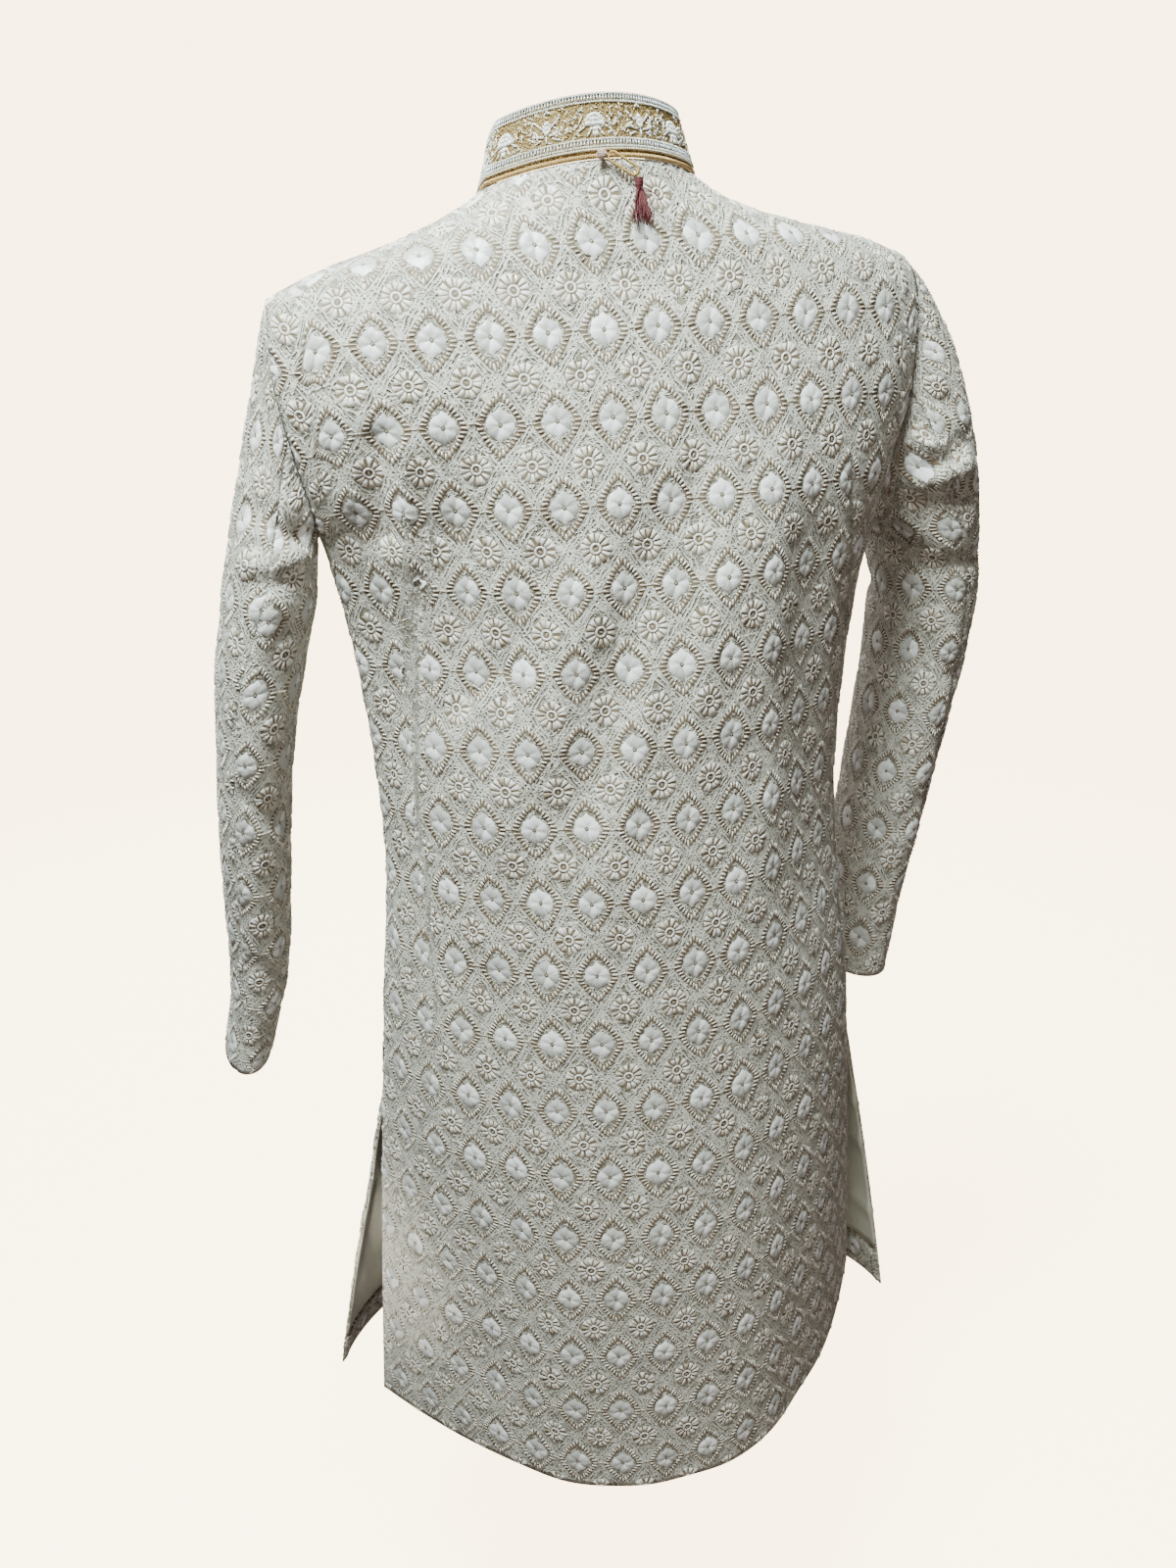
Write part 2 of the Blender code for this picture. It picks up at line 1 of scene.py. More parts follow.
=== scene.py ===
"""Men's knee-length sherwani coat: embroidered cloth, beaded stand collar, satin skirt linings.

Metres, +Z up.  The front of the coat faces -Y and the wearer's left is +X.  The origin is the
middle of the neck seam.  Embroidery sizes are in millimetres on the flat cloth.
"""

import math

import bmesh
import bpy
import numpy as np
from bpy.props import FloatProperty, FloatVectorProperty, PointerProperty
from mathutils import Matrix, Vector


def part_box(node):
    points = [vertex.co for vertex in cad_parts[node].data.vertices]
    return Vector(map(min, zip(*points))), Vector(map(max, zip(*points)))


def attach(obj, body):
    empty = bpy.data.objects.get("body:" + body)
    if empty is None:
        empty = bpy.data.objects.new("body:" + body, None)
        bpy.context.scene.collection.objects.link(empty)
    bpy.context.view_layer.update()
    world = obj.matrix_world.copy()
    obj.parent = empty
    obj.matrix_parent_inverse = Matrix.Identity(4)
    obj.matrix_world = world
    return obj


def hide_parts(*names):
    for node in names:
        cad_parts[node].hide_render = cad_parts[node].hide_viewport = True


bl_info = {
    "name": "Sherwani Coat",
    "version": (1, 0, 0),
    "blender": (4, 5, 0),
    "location": "View3D > Sidebar > Coat",
    "description": "Builds an embroidered sherwani coat on its cutting frame",
    "category": "Add Mesh",
}

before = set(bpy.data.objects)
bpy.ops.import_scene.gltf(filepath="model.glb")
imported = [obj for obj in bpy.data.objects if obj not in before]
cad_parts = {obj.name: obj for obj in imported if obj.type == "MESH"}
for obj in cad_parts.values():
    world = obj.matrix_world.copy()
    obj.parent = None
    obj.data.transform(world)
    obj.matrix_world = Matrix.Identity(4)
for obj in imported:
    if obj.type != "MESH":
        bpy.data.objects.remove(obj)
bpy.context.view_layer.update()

# ---- cloth and seams
WALL = 0.0020
LINING_WALL = 0.0010
COLLAR_WALL = 0.0030
GAP = 0.0003
SEAM_DEPTH = 0.0010
SEAM_HALF_WIDTH = 0.0032
SEAM_FADE = 0.02

# ---- coat heights
HEM_Z = -1.029
SLIT_TOP_Z = -0.715
ARMHOLE_BASE_Z = -0.230
SHOULDER_TIP_X = 0.238
SHOULDER_SLANT = 0.030
SHOULDER_RISE = 0.16     # height over which the slant comes in
FACING_HEIGHT = 0.036
LINING_START = 1 / 12    # share of a front where the skirt lining begins
LINING_ABOVE_SLIT = (ARMHOLE_BASE_Z - SLIT_TOP_Z) / 7
LINING_SETBACK = 0.003   # how far the linings stop short of the fronts' side edges

# ---- neck seam, collar and piping
NECK_HALF_WIDTH = 0.075
NECK_BACK_Z = 0.004
NECK_SIDE_Z = -0.005
NECK_FRONT_Z = -0.075
COLLAR_HEIGHT = 0.036
COLLAR_LEAN = 0.011
COLLAR_OPENING = 0.006
PIPING_RADIUS = 0.0015
# edging cords: name, height on the collar and radius
EDGING_CORDS = (("collar_foot_cord", 0.0020, 0.00085), ("collar_top_cord", 0.0372, 0.00070))

# ---- front closing and skirt fronts
LEFT_EDGE = 0.040
RIGHT_EDGE = 0.045
LAP_START = -0.065       # share of the right half where that front starts to sink under the left one
LAP_EASE = 0.020
FRONT_FLARE = 0.029
FRONT_SWAY = 0.009
FRONT_TURN = math.radians(-9.0)
SWAY_START = 0.25        # share of the slit's height above which the skirt fronts hang straight

# ---- hanging loop and tassel
CORD_RADIUS = 0.0010
KNOT_RADIUS = 0.0032
TASSEL_HEAD_RADIUS = 0.0022
TASSEL_HEAD_HEIGHT = 0.0065
KNOT_X = 0.008
KNOT_OFF_CLOTH = (0.0, 0.0044, 0.0022)
KNOT_WRAPS = 6
KNOT_WRAP_RADIUS = 0.00062
TASSEL_TOP = (-0.0165, -0.0085)
TASSEL_OFF_CLOTH = (0.0, 0.0046, 0.0)
LOOP_OFF_CLOTH = 0.0012
TASSEL_HEAD_WRAPS = 8
TASSEL_WRAP_RADIUS = 0.00052
TASSEL_THREADS = 54
TASSEL_LEAN = (0.048, 0.34)    # how far the threads hang sideways and outwards, as shares of their length
# loose threads: how far they reach across and down, and how far they bow out
LOOSE_THREADS = (
    (0.0145, -0.0165, 0.0030), (-0.0090, -0.0150, -0.0065),
    (-0.0060, -0.0235, -0.0035), (0.0085, -0.0230, 0.0020),
)
TASSEL_SKIRT_LENGTH = 0.024

# ---- rows and columns of the sewn pieces
NECK_SHARE = 0.5         # share of a half panel that lies under the neck seam
ARMHOLE_ROWS = 9
HIND_SEAM = 5
FRONT_SEAM = 14

# ---- embroidery, on the flat cloth
TURN_SPREAD = 0.035      # how far the diamonds lean, in radians, and how far all motifs vary in size
SIZE_SPREAD = 0.025
FOUND_WITHIN = 0.0004    # how near a place has to come to the cloth coordinates wanted
ROW_A_Z = -0.045         # height of the top row of diamonds at the centre back
COLUMN_SHIFT = 0.69      # columns between the centre back and the first diamond
# half width, half height (mm) and roundness: a diamond's stitches, outside and inside, and the cord round it
DIAMOND_OUTER = (17.2, 22.4, 1.16)
DIAMOND_INNER = (11.8, 16.9, 1.30)
CORD_DIAMOND = (18.0, 23.2, 1.16)

# Level sections of the body: half its width, its middle's place, how far back and front stand out from
# the side seams, and how round they are.
BODY_COLUMNS = ("z", "half_width", "shift", "back_depth", "back_power", "front_depth", "front_power")
BODY = (
    (0.020, 0.060, 0.008, 0.040, 0.58, 0.045, 0.50),
    (0.004, 0.068, 0.008, 0.0465, 0.58, 0.052, 0.50),
    (-0.005, 0.075, 0.008, 0.049, 0.58, 0.057, 0.50),
    (-0.012, 0.086, 0.008, 0.0505, 0.57, 0.061, 0.50),
    (-0.019, 0.100, 0.008, 0.0520, 0.56, 0.065, 0.50),
    (-0.029, 0.125, 0.006, 0.0545, 0.54, 0.071, 0.50),
    (-0.039, 0.160, 0.003, 0.0570, 0.52, 0.076, 0.50),
    (-0.047, 0.190, 0.001, 0.0595, 0.51, 0.079, 0.50),
    (-0.055, 0.214, 0.000, 0.0620, 0.50, 0.082, 0.50),
    (-0.067, 0.238, 0.000, 0.0650, 0.49, 0.085, 0.50),
    (-0.105, 0.252, 0.000, 0.0761, 0.47, 0.095, 0.50),
    (-0.150, 0.246, 0.000, 0.0870, 0.44, 0.105, 0.51),
    (-0.195, 0.232, 0.001, 0.0968, 0.44, 0.112, 0.52),
    (-0.235, 0.219, 0.001, 0.1035, 0.47, 0.116, 0.53),
    (-0.315, 0.2046, 0.002, 0.1145, 0.60, 0.122, 0.56),
    (-0.465, 0.1957, 0.004, 0.1320, 0.70, 0.122, 0.60),
    (-0.615, 0.2104, 0.005, 0.1482, 0.68, 0.130, 0.62),
    (-0.815, 0.2292, 0.009, 0.1709, 0.82, 0.145, 0.65),
    (-1.095, 0.2500, 0.015, 0.1877, 1.08, 0.172, 0.68),
)

# Edges of the back and the fronts along the armhole.
ARMHOLE_COLUMNS = ("z", "back_x", "front_x")
ARMHOLE = (
    (-0.067, 0.2380, 0.2380),
    (-0.090, 0.2410, 0.2260),
    (-0.130, 0.2395, 0.2140),
    (-0.170, 0.2330, 0.2090),
    (-0.205, 0.2250, 0.2110),
    (-0.230, 0.2205, 0.2205),
)

# Level sections of the sleeves: middle, half sizes, and how far the hind seam slides round (0 to 1).
SLEEVE_COLUMNS = ("z", "x", "y", "half_x", "half_y", "slide")
SLEEVES = {
    "left": (
        (-0.285, 0.2640, -0.024, 0.0340, 0.066, 0.60),
        (-0.330, 0.2755, -0.028, 0.0325, 0.064, 0.85),
        (-0.377, 0.2845, -0.033, 0.0295, 0.062, 1.00),
        (-0.427, 0.2920, -0.040, 0.0285, 0.061, 1.00),
        (-0.480, 0.2985, -0.047, 0.0275, 0.059, 1.00),
        (-0.535, 0.3040, -0.054, 0.0262, 0.056, 1.00),
        (-0.594, 0.3105, -0.063, 0.0240, 0.053, 1.00),
        (-0.638, 0.3205, -0.070, 0.0210, 0.051, 1.00),
        (-0.676, 0.3310, -0.076, 0.0200, 0.050, 1.00),
    ),
    "right": (
        (-0.285, 0.2920, -0.036, 0.0410, 0.063, 0.30),
        (-0.325, 0.2990, -0.042, 0.0400, 0.062, 0.45),
        (-0.380, 0.2975, -0.047, 0.0375, 0.061, 0.60),
        (-0.440, 0.2890, -0.050, 0.0350, 0.059, 0.70),
        (-0.503, 0.2790, -0.052, 0.0335, 0.057, 0.80),
        (-0.562, 0.2700, -0.054, 0.0320, 0.054, 0.90),
        (-0.615, 0.2620, -0.056, 0.0305, 0.051, 1.00),
        (-0.657, 0.2575, -0.057, 0.0295, 0.049, 1.00),
        (-0.696, 0.2530, -0.058, 0.0290, 0.048, 1.00),
    ),
}
SLEEVE_SLIDE = 48.0      # degrees that the hind seam slides round where slide is 1
SLEEVE_FULLNESS = {"left": 0.000, "right": 0.012}

# Soft troughs (height below 0) and ridges.  Each is a run of (x, z, half width, height) in millimetres.
BACK_CREASES = (
    # long trough slanting down the middle of the back
    ((-14, -205, 18, -2.6), (15, -261, 21, -6.8), (40, -333, 22, -7.6), (66, -402, 24, -6.8),
     (105, -469, 27, -1.9)),
    # ridges on both sides of it
    ((55, -278, 27, 3.9), (88, -372, 30, 6.5), (119, -447, 30, 3.6)),
    ((-64, -249, 24, 3.4), (-29, -313, 27, 4.8), (-2, -380, 27, 2.9)),
    # hollow by the left shoulder blade
    ((121, -177, 26, -4.8), (132, -227, 27, -8.2), (137, -287, 27, -6.6), (142, -350, 24, -2.2)),
    # short pucker at the left waist and the ridge under it
    ((113, -322, 6, -1.3), (163, -363, 6, -2.3)),
    ((121, -340, 11, 1.9), (159, -387, 12, 2)),
    # edge of the right shoulder blade, running down to the waist
    ((-101, -166, 20, 2.3), (-92, -225, 20, 4), (-84, -308, 20, 4), (-69, -363, 22, 1.6)),
    ((-74, -447, 22, 2.7), (-60, -521, 25, 1.8)),
    ((-126, -257, 23, -3.7), (-121, -361, 23, -4.3), (-126, -525, 26, -2.5)),
    # upright folds beside the left armhole
    ((182, -160, 7, -4), (183, -226, 8, -5.3)),
    ((198, -140, 6, 2.8), (199, -200, 6, 2.8)),
    ((163, -170, 8, 3.1), (166, -245, 8, 3.4)),
    # drag under the collar
    ((32, -60, 7, -1.9), (-4, -74, 8, -2.5)),
    # faint waves of the skirt
    ((148, -560, 18, -2.5), (172, -940, 24, -3.7)),
    ((100, -700, 26, 1.9), (120, -1020, 30, 4)),
    ((-80, -640, 24, -1.9), (-110, -1020, 30, -3.7)),
    ((10, -760, 26, -1.2), (20, -1020, 30, -3.4)),
    # softer slanting drags beside the long trough
    ((-50, -130, 14, -2.8), (-6, -330, 16, -3.4), (30, -450, 18, -1.9)),
    ((10, -330, 12, 1.9), (52, -470, 14, 2.5), (85, -560, 16, 1.2)),
    ((75, -230, 12, -2.2), (112, -330, 14, -2.8)),
)
# Broad hollow of the left side above the waist, which the side seam holds back at its edge.
HOLLOW_HELD = 0.040
BACK_HOLLOW = (
    ((168, -228, 72, -13), (150, -315, 78, -12.5)),
)
FRONT_CREASES = (
    # folds beside the armholes
    ((150, -150, 12, -3.6), (168, -235, 12, -5)),
    ((-150, -150, 12, -3.6), (-166, -240, 12, -5)),
    # drags towards the waist
    ((40, -300, 16, -2.8), (110, -420, 18, -4.8), (150, -470, 18, -2)),
    ((-45, -310, 16, -2.2), (-120, -430, 18, -4.2)),
    # waves of the skirt
    ((100, -640, 24, 2), (130, -1020, 30, 4.8)),
    ((-110, -640, 24, -1.7), (-125, -1020, 30, -4.5)),
    ((55, -700, 22, -1.4), (65, -1020, 28, -3.9)),
    ((-55, -720, 22, 1.1), (-60, -1020, 28, 3.6)),
)
# Those of each sleeve's hind face, then those of its fore face.
SLEEVE_CREASES = {
    "left": (
        (
            ((270, -204, 7, -3), (235, -224, 7, -6.5)),
            ((276, -240, 7, 3.5), (240, -238, 6, 4.3)),
            ((268, -254, 6, -2.7), (244, -252, 6, -3.8)),
            ((255, -284, 9, -3.5), (274, -330, 10, -2.2)),
            ((300, -412, 9, -2.4), (275, -440, 8, -3.2)),
            ((312, -560, 9, -1.6), (292, -590, 8, -2.7)),
        ),
        (
            ((265, -230, 9, -5.4), (236, -262, 9, -5.4)),
            ((300, -380, 10, -3.2), (268, -420, 10, -4.1)),
        ),
    ),
    "right": (
        (
            ((-243, -160, 7, -2.4), (-272, -166, 6, -4.1)),
            ((-235, -190, 7, 4.9), (-259, -199, 7, 4.1)),
            ((-252, -209, 6, -3.9), (-285, -192, 6, -3.7)),
            ((-246, -224, 7, 4.9), (-285, -214, 8, 6.2)),
            ((-243, -238, 7, -3.3), (-286, -243, 8, -4.4)),
            ((-240, -252, 7, 3.8), (-276, -276, 8, 4.1)),
            ((-229, -235, 8, -4.6), (-250, -292, 9, -4.6)),
            ((-262, -296, 8, -3), (-310, -290, 10, -4.6)),
            ((-268, -362, 10, -3), (-300, -394, 10, -4.1)),
            ((-290, -500, 10, -1.9), (-262, -540, 10, -3)),
        ),
        (
            ((-240, -220, 9, -5.4), (-300, -250, 10, -4.1)),
            ((-270, -320, 10, -5.4), (-320, -345, 10, -4.1)),
        ),
    ),
}
# Rumples of the satin, pushed away from the front.
LINING_CREASES = {
    "left": (
        ((215, -800, 8, -2), (170, -830, 10, -1.2)),
        ((220, -900, 10, -2.4), (160, -880, 10, -1.2)),
    ),
    "right": (
        ((-245, -824, 6, -2.6), (-190, -836, 8, -1.4)),
        ((-250, -874, 6, -2.8), (-200, -866, 8, -1.4)),
        ((-255, -951, 7, -2.8), (-200, -935, 10, -1.4)),
    ),
}
# Beadwork of the collar, in mm: from one fan or leaf to the next, the field's distance from the foot and
# the top, and a bugle's length.  BEAD_LIFT is the height of a bead's middle as a share of its width.
FAN_STEP = 33.5
FIELD_FOOT = 9.6
FIELD_TOP = 6.6
BUGLE_LENGTH = 3.0
BEAD_LIFT = 0.42
# Strands beside each: x and y of both ends from the foot, width in mm, and slot.
FAN_SIDE = (
    (2.3, 6.6, 5.8, 1.0, 1.2, 1), (7.0, 7.4, 12.0, 4.6, 1.2, 1), (8.8, 13.6, 11.2, 9.4, 1.2, 1),
    (11.4, 12.0, 14.0, 15.6, 1.0, 2),
)
LEAF_SIDE = (
    (3.0, 10.5, 9.0, 15.8, 1.4, 1), (2.0, 5.4, 10.0, 7.2, 1.4, 1), (6.0, 6.2, 8.0, 9.6, 1.0, 1),
    (4.0, 3.8, 8.6, 1.6, 1.1, 1),
)

# Columns and rows between each sleeve piece's middle top and its first diamond.
SLEEVE_LATTICE = {
    "top_sleeve_left": (-0.40, 0.33),
    "under_sleeve_left": (0.50, 0.0),
    "top_sleeve_right": (-0.19, 0.19),
    "under_sleeve_right": (0.31, -0.08),
}

# Where the camera stands, and its right, down and ahead directions.
CAMERA_PLACE = (0.28210, 0.86864, -0.09954)
CAMERA_AXES = (
    (-0.95475724, 0.29437510, -0.04221276),
    (0.14392707, 0.33318396, -0.93181192),
    (-0.26023761, -0.89572973, -0.36047834),
)

# Long dart on each half of the back: where its seam lies and the cloth that it takes up.
DART_DEPTH = 0.0018
DART_HALF_WIDTH = 0.0035
DART_FULL = 0.004        # intake from which the groove has its full depth
DART_COLUMNS = ("z", "x", "intake")
DART = (
    (-0.150, 0.160, 0.0000),
    (-0.194, 0.163, 0.0020),
    (-0.243, 0.168, 0.0060),
    (-0.281, 0.174, 0.0090),
    (-0.396, 0.177, 0.0130),
    (-0.458, 0.176, 0.0100),
    (-0.537, 0.178, 0.0060),
    (-0.640, 0.182, 0.0020),
    (-0.720, 0.186, 0.0000),
)


# ---- front buttons: their profile as shares of the radius and the height
BUTTONS = 9
BUTTON_HEIGHT = 0.0042
BUTTON_PROFILE = (
    (0.0, 0.0), (0.92, 0.0), (1.0, 0.10), (1.0, 0.26), (0.95, 0.34), (0.88, 0.30), (0.84, 0.36),
    *((0.80 * math.cos(a), 0.38 + 0.62 * math.sin(a)) for a in np.linspace(0.05, 1.5, 8)), (0.0, 1.0),
)

# ---- floor and lights: place, aim, size, watts, tint and spread in degrees
FLOOR_Z = -1.45
FLOOR_RADIUS = 3.2
COVE_RADIUS = 1.2
LIGHTS = (
    ("key_light", (0.45, 0.50, 1.20), (0.05, 0.05, -0.25), 0.50, 77.0, (0.885, 1.0, 0.965), 180),
    ("shoulder_light", (0.44, 0.34, 0.50), (0.14, 0.05, -0.08), 0.25, 6.5, (0.89, 1.0, 0.97), 180),
    ("fill_light", (0.3, 2.7, -0.2), (0.05, 0.0, -0.6), 2.4, 5.6, (1.0, 0.85, 0.73), 180),
    ("low_light", (-0.05, 1.35, -1.25), (0.0, 0.1, -0.85), 0.8, 2.5, (1.0, 0.90, 0.80), 180),
    ("slit_light", (0.66, 0.74, -1.10), (0.290, -0.02, -0.86), 0.10, 0.14, (1.0, 0.93, 0.80), 18),
    ("front_light", (0.2, -2.4, 0.7), (0.0, 0.0, -0.5), 2.0, 52.0, (1.0, 0.98, 0.95), 180),
)


# ---------------------------------------------------------------- shape of the coat

def ease(t):
    """From 0 to 1, level at both ends."""
    return t * t * (3 - 2 * t)


def smooth_between(t, start, leaving, end, arriving):
    """Smooth curve from one value to another, with the slopes at its ends."""
    return (start * (1 + 2 * t) * (1 - t) ** 2 + leaving * t * (1 - t) ** 2
            + end * ease(t) + arriving * t * t * (t - 1))


def curve_value(rows, columns, name, z):
    """Values of one column at heights z, on a smooth curve through the rows."""
    k = columns.index(name)
    zs, vs = (np.array([row[n] for row in rows])[::-1] for n in (0, k))
    z = np.clip(z, zs[0], zs[-1])
    slopes = np.diff(vs) / np.diff(zs)
    tangents = np.concatenate(([slopes[0]], 0.5 * (slopes[:-1] + slopes[1:]), [slopes[-1]]))
    turning = slopes[:-1] * slopes[1:] <= 0.0
    tangents[1:-1][turning] = 0.0
    i = np.clip(np.searchsorted(zs, z) - 1, 0, len(slopes) - 1)
    step = zs[i + 1] - zs[i]
    return smooth_between((z - zs[i]) / step, vs[i], tangents[i] * step, vs[i + 1], tangents[i + 1] * step)


def body(name, z):
    """One value of the body's sections at heights z."""
    return curve_value(BODY, BODY_COLUMNS, name, z)


def depth_of(side, x, z):
    """How far the body stands out at height z, x metres from its middle."""
    part = np.minimum(np.abs(x) / body("half_width", z), 1.0)
    return body(side + "_depth", z) * (1 - part * part) ** body(side + "_power", z)


def section_points(side, x, z):
    """Points of the body sections at heights z, x metres from their middle."""
    out = 1 if side == "back" else -1
    high = np.clip((z - ARMHOLE_BASE_Z) / SHOULDER_RISE, 0.0, 1.0)
    slant = SHOULDER_SLANT * x * ease(high)
    y = out * (depth_of(side, x, z) + 0.5 * GAP)
    return np.stack((body("shift", z) + x, y, z - slant), axis=-1)


def on_back(x, z):
    """The place of the back at x metres from its middle and height z."""
    return section_points("back", np.array(x), np.array(z))


def shoulder_z(x):
    """Height of the shoulder seam, x metres from the centre line."""
    low = np.full(np.shape(x), -0.080)
    high = np.full(np.shape(x), NECK_SIDE_Z)
    for _ in range(40):
        middle = 0.5 * (low + high)
        wider = body("half_width", middle) > x
        low = np.where(wider, middle, low)
        high = np.where(wider, high, middle)
    return 0.5 * (low + high)


def upper_places(side, across, down):
    """x and z between the top edge (down 0) and the armhole base (down 1)."""
    sign = np.where(across >= 0, 1.0, -1.0)
    across = np.abs(across)
    under_neck = np.minimum(across / NECK_SHARE, 1.0)
    beyond = np.clip((across - NECK_SHARE) / (1 - NECK_SHARE), 0.0, 1.0)
    top_x = NECK_HALF_WIDTH * np.sin(0.5 * math.pi * under_neck)
    top_x = top_x + (SHOULDER_TIP_X - NECK_HALF_WIDTH) * beyond
    part = np.minimum(top_x / NECK_HALF_WIDTH, 1.0)
    if side == "back":
        neck_z = NECK_SIDE_Z + (NECK_BACK_Z - NECK_SIDE_Z) * (1 - part * part)
    else:
        neck_z = NECK_FRONT_Z + (NECK_SIDE_Z - NECK_FRONT_Z) * (1 - np.sqrt(1 - part * part))
    top = np.where(across <= NECK_SHARE, neck_z, shoulder_z(top_x))
    z = top * (1 - down) + ARMHOLE_BASE_Z * down
    edge_z = shoulder_z(np.array(SHOULDER_TIP_X)) * (1 - down) + ARMHOLE_BASE_Z * down
    edge_x = curve_value(ARMHOLE, ARMHOLE_COLUMNS, side + "_x", edge_z)
    edge_x = np.where(down >= 1.0, body("half_width", ARMHOLE_BASE_Z), edge_x)
    even = ease(down)
    spread = (1 - even) * top_x / SHOULDER_TIP_X + even * np.sin(across * math.pi / 2)
    return sign * edge_x * spread, z


def lower_points(side, across, z):
    """Points between the armhole base and the hem."""
    below = np.clip((SLIT_TOP_Z - z) / (SLIT_TOP_Z - HEM_Z), 0.0, None)
    swing = np.clip((below - SWAY_START) / (1 - SWAY_START), 0.0, None)
    part = np.sin(across * math.pi / 2)
    half = body("half_width", z)
    points = section_points(side, half * part, z)
    if side == "front":
        x = (half + FRONT_FLARE * below ** 0.7) * part
        y = points[..., 1].copy()
        turn = FRONT_TURN * swing
        shift = body("shift", z) + FRONT_SWAY * swing
        points[..., 0] = shift + x * np.cos(turn) - y * np.sin(turn)
        points[..., 1] = x * np.sin(turn) + y * np.cos(turn)
    return points


def sleeve_section(word, turns, z):
    """Points round the sleeve at heights z; turns counts armhole columns."""
    sign = 1 if word == "left" else -1
    table = SLEEVES[word]
    value = {n: curve_value(table, SLEEVE_COLUMNS, n, z) for n in SLEEVE_COLUMNS[1:]}
    wrapped = turns % (2 * ARMHOLE_ROWS)
    falling = np.clip(1 - (wrapped - HIND_SEAM) / (ARMHOLE_ROWS - HIND_SEAM), 0.0, 1.0)
    pull = np.where(wrapped <= HIND_SEAM, wrapped / HIND_SEAM, falling)
    angle = np.radians(360.0 * turns / (2 * ARMHOLE_ROWS) - SLEEVE_SLIDE * value["slide"] * pull)
    x = sign * (value["x"] + value["half_x"] * np.cos(angle))
    y = value["y"] + value["half_y"] * np.sin(angle)
    return np.stack((x, y, z + 0.0 * x), axis=-1)


def armhole_points(word, turns):
    """Points of the armhole seam: down the back edge, up the front edge."""
    sign = 1 if word == "left" else -1
    turns = turns % (2 * ARMHOLE_ROWS)
    back_down = np.minimum(turns / ARMHOLE_ROWS, 1.0)
    front_down = np.clip((2 * ARMHOLE_ROWS - turns) / ARMHOLE_ROWS, 0.0, 1.0)
    edge = np.full(turns.shape, float(sign))
    back = section_points("back", *upper_places("back", edge, back_down))
    front = section_points("front", *upper_places("front", edge, front_down))
    loop = np.where((turns <= ARMHOLE_ROWS)[:, None], back, front)
    loop[:, 0] += sign * 1.5 * GAP
    return loop


# ---------------------------------------------------------------- cloth

def lengths_along(points, axis):
    """Running length along an axis of a grid of points."""
    steps = np.linalg.norm(np.diff(points, axis=axis), axis=-1)
    start = np.zeros_like(np.take(steps, [0], axis=axis))
    return np.concatenate((start, np.cumsum(steps, axis=axis)), axis=axis)


def unit(vectors):
    """The same directions, each of length one."""
    return vectors / np.maximum(np.linalg.norm(vectors, axis=-1, keepdims=True), 1e-12)


def grid_normals(points, outward):
    """Unit normals of a grid of points, turned to the side of outward."""
    normals = unit(np.cross(np.gradient(points, axis=0), np.gradient(points, axis=1)))
    return -normals if np.sum(normals * outward) < 0 else normals


def between(grid, i, j, down, across):
    """Values of a grid part of the way down and across its cells (i, j)."""
    near = grid[i, j] * (1 - down) + grid[i + 1, j] * down
    far = grid[i, j + 1] * (1 - down) + grid[i + 1, j + 1] * down
    return near * (1 - across) + far * across


def crease_height(line, x, z):
    """How far one crease moves the cloth at the places (x, z)."""
    line = 0.001 * np.array(line)
    nearest, height = np.full(x.shape, np.inf), np.zeros(x.shape)
    for a, b in zip(line, line[1:]):
        run_x, run_z = b[:2] - a[:2]
        t = np.clip(((x - a[0]) * run_x + (z - a[1]) * run_z) / (run_x ** 2 + run_z ** 2), 0.0, 1.0)
        width, peak = (a[k] * (1 - t) + b[k] * t for k in (2, 3))
        away = np.hypot(x - a[0] - t * run_x, z - a[1] - t * run_z) / width
        closer = away < nearest
        nearest = np.where(closer, away, nearest)
        height = np.where(closer, peak * np.exp(-np.minimum(away, 6.0) ** 2), height)
    return height


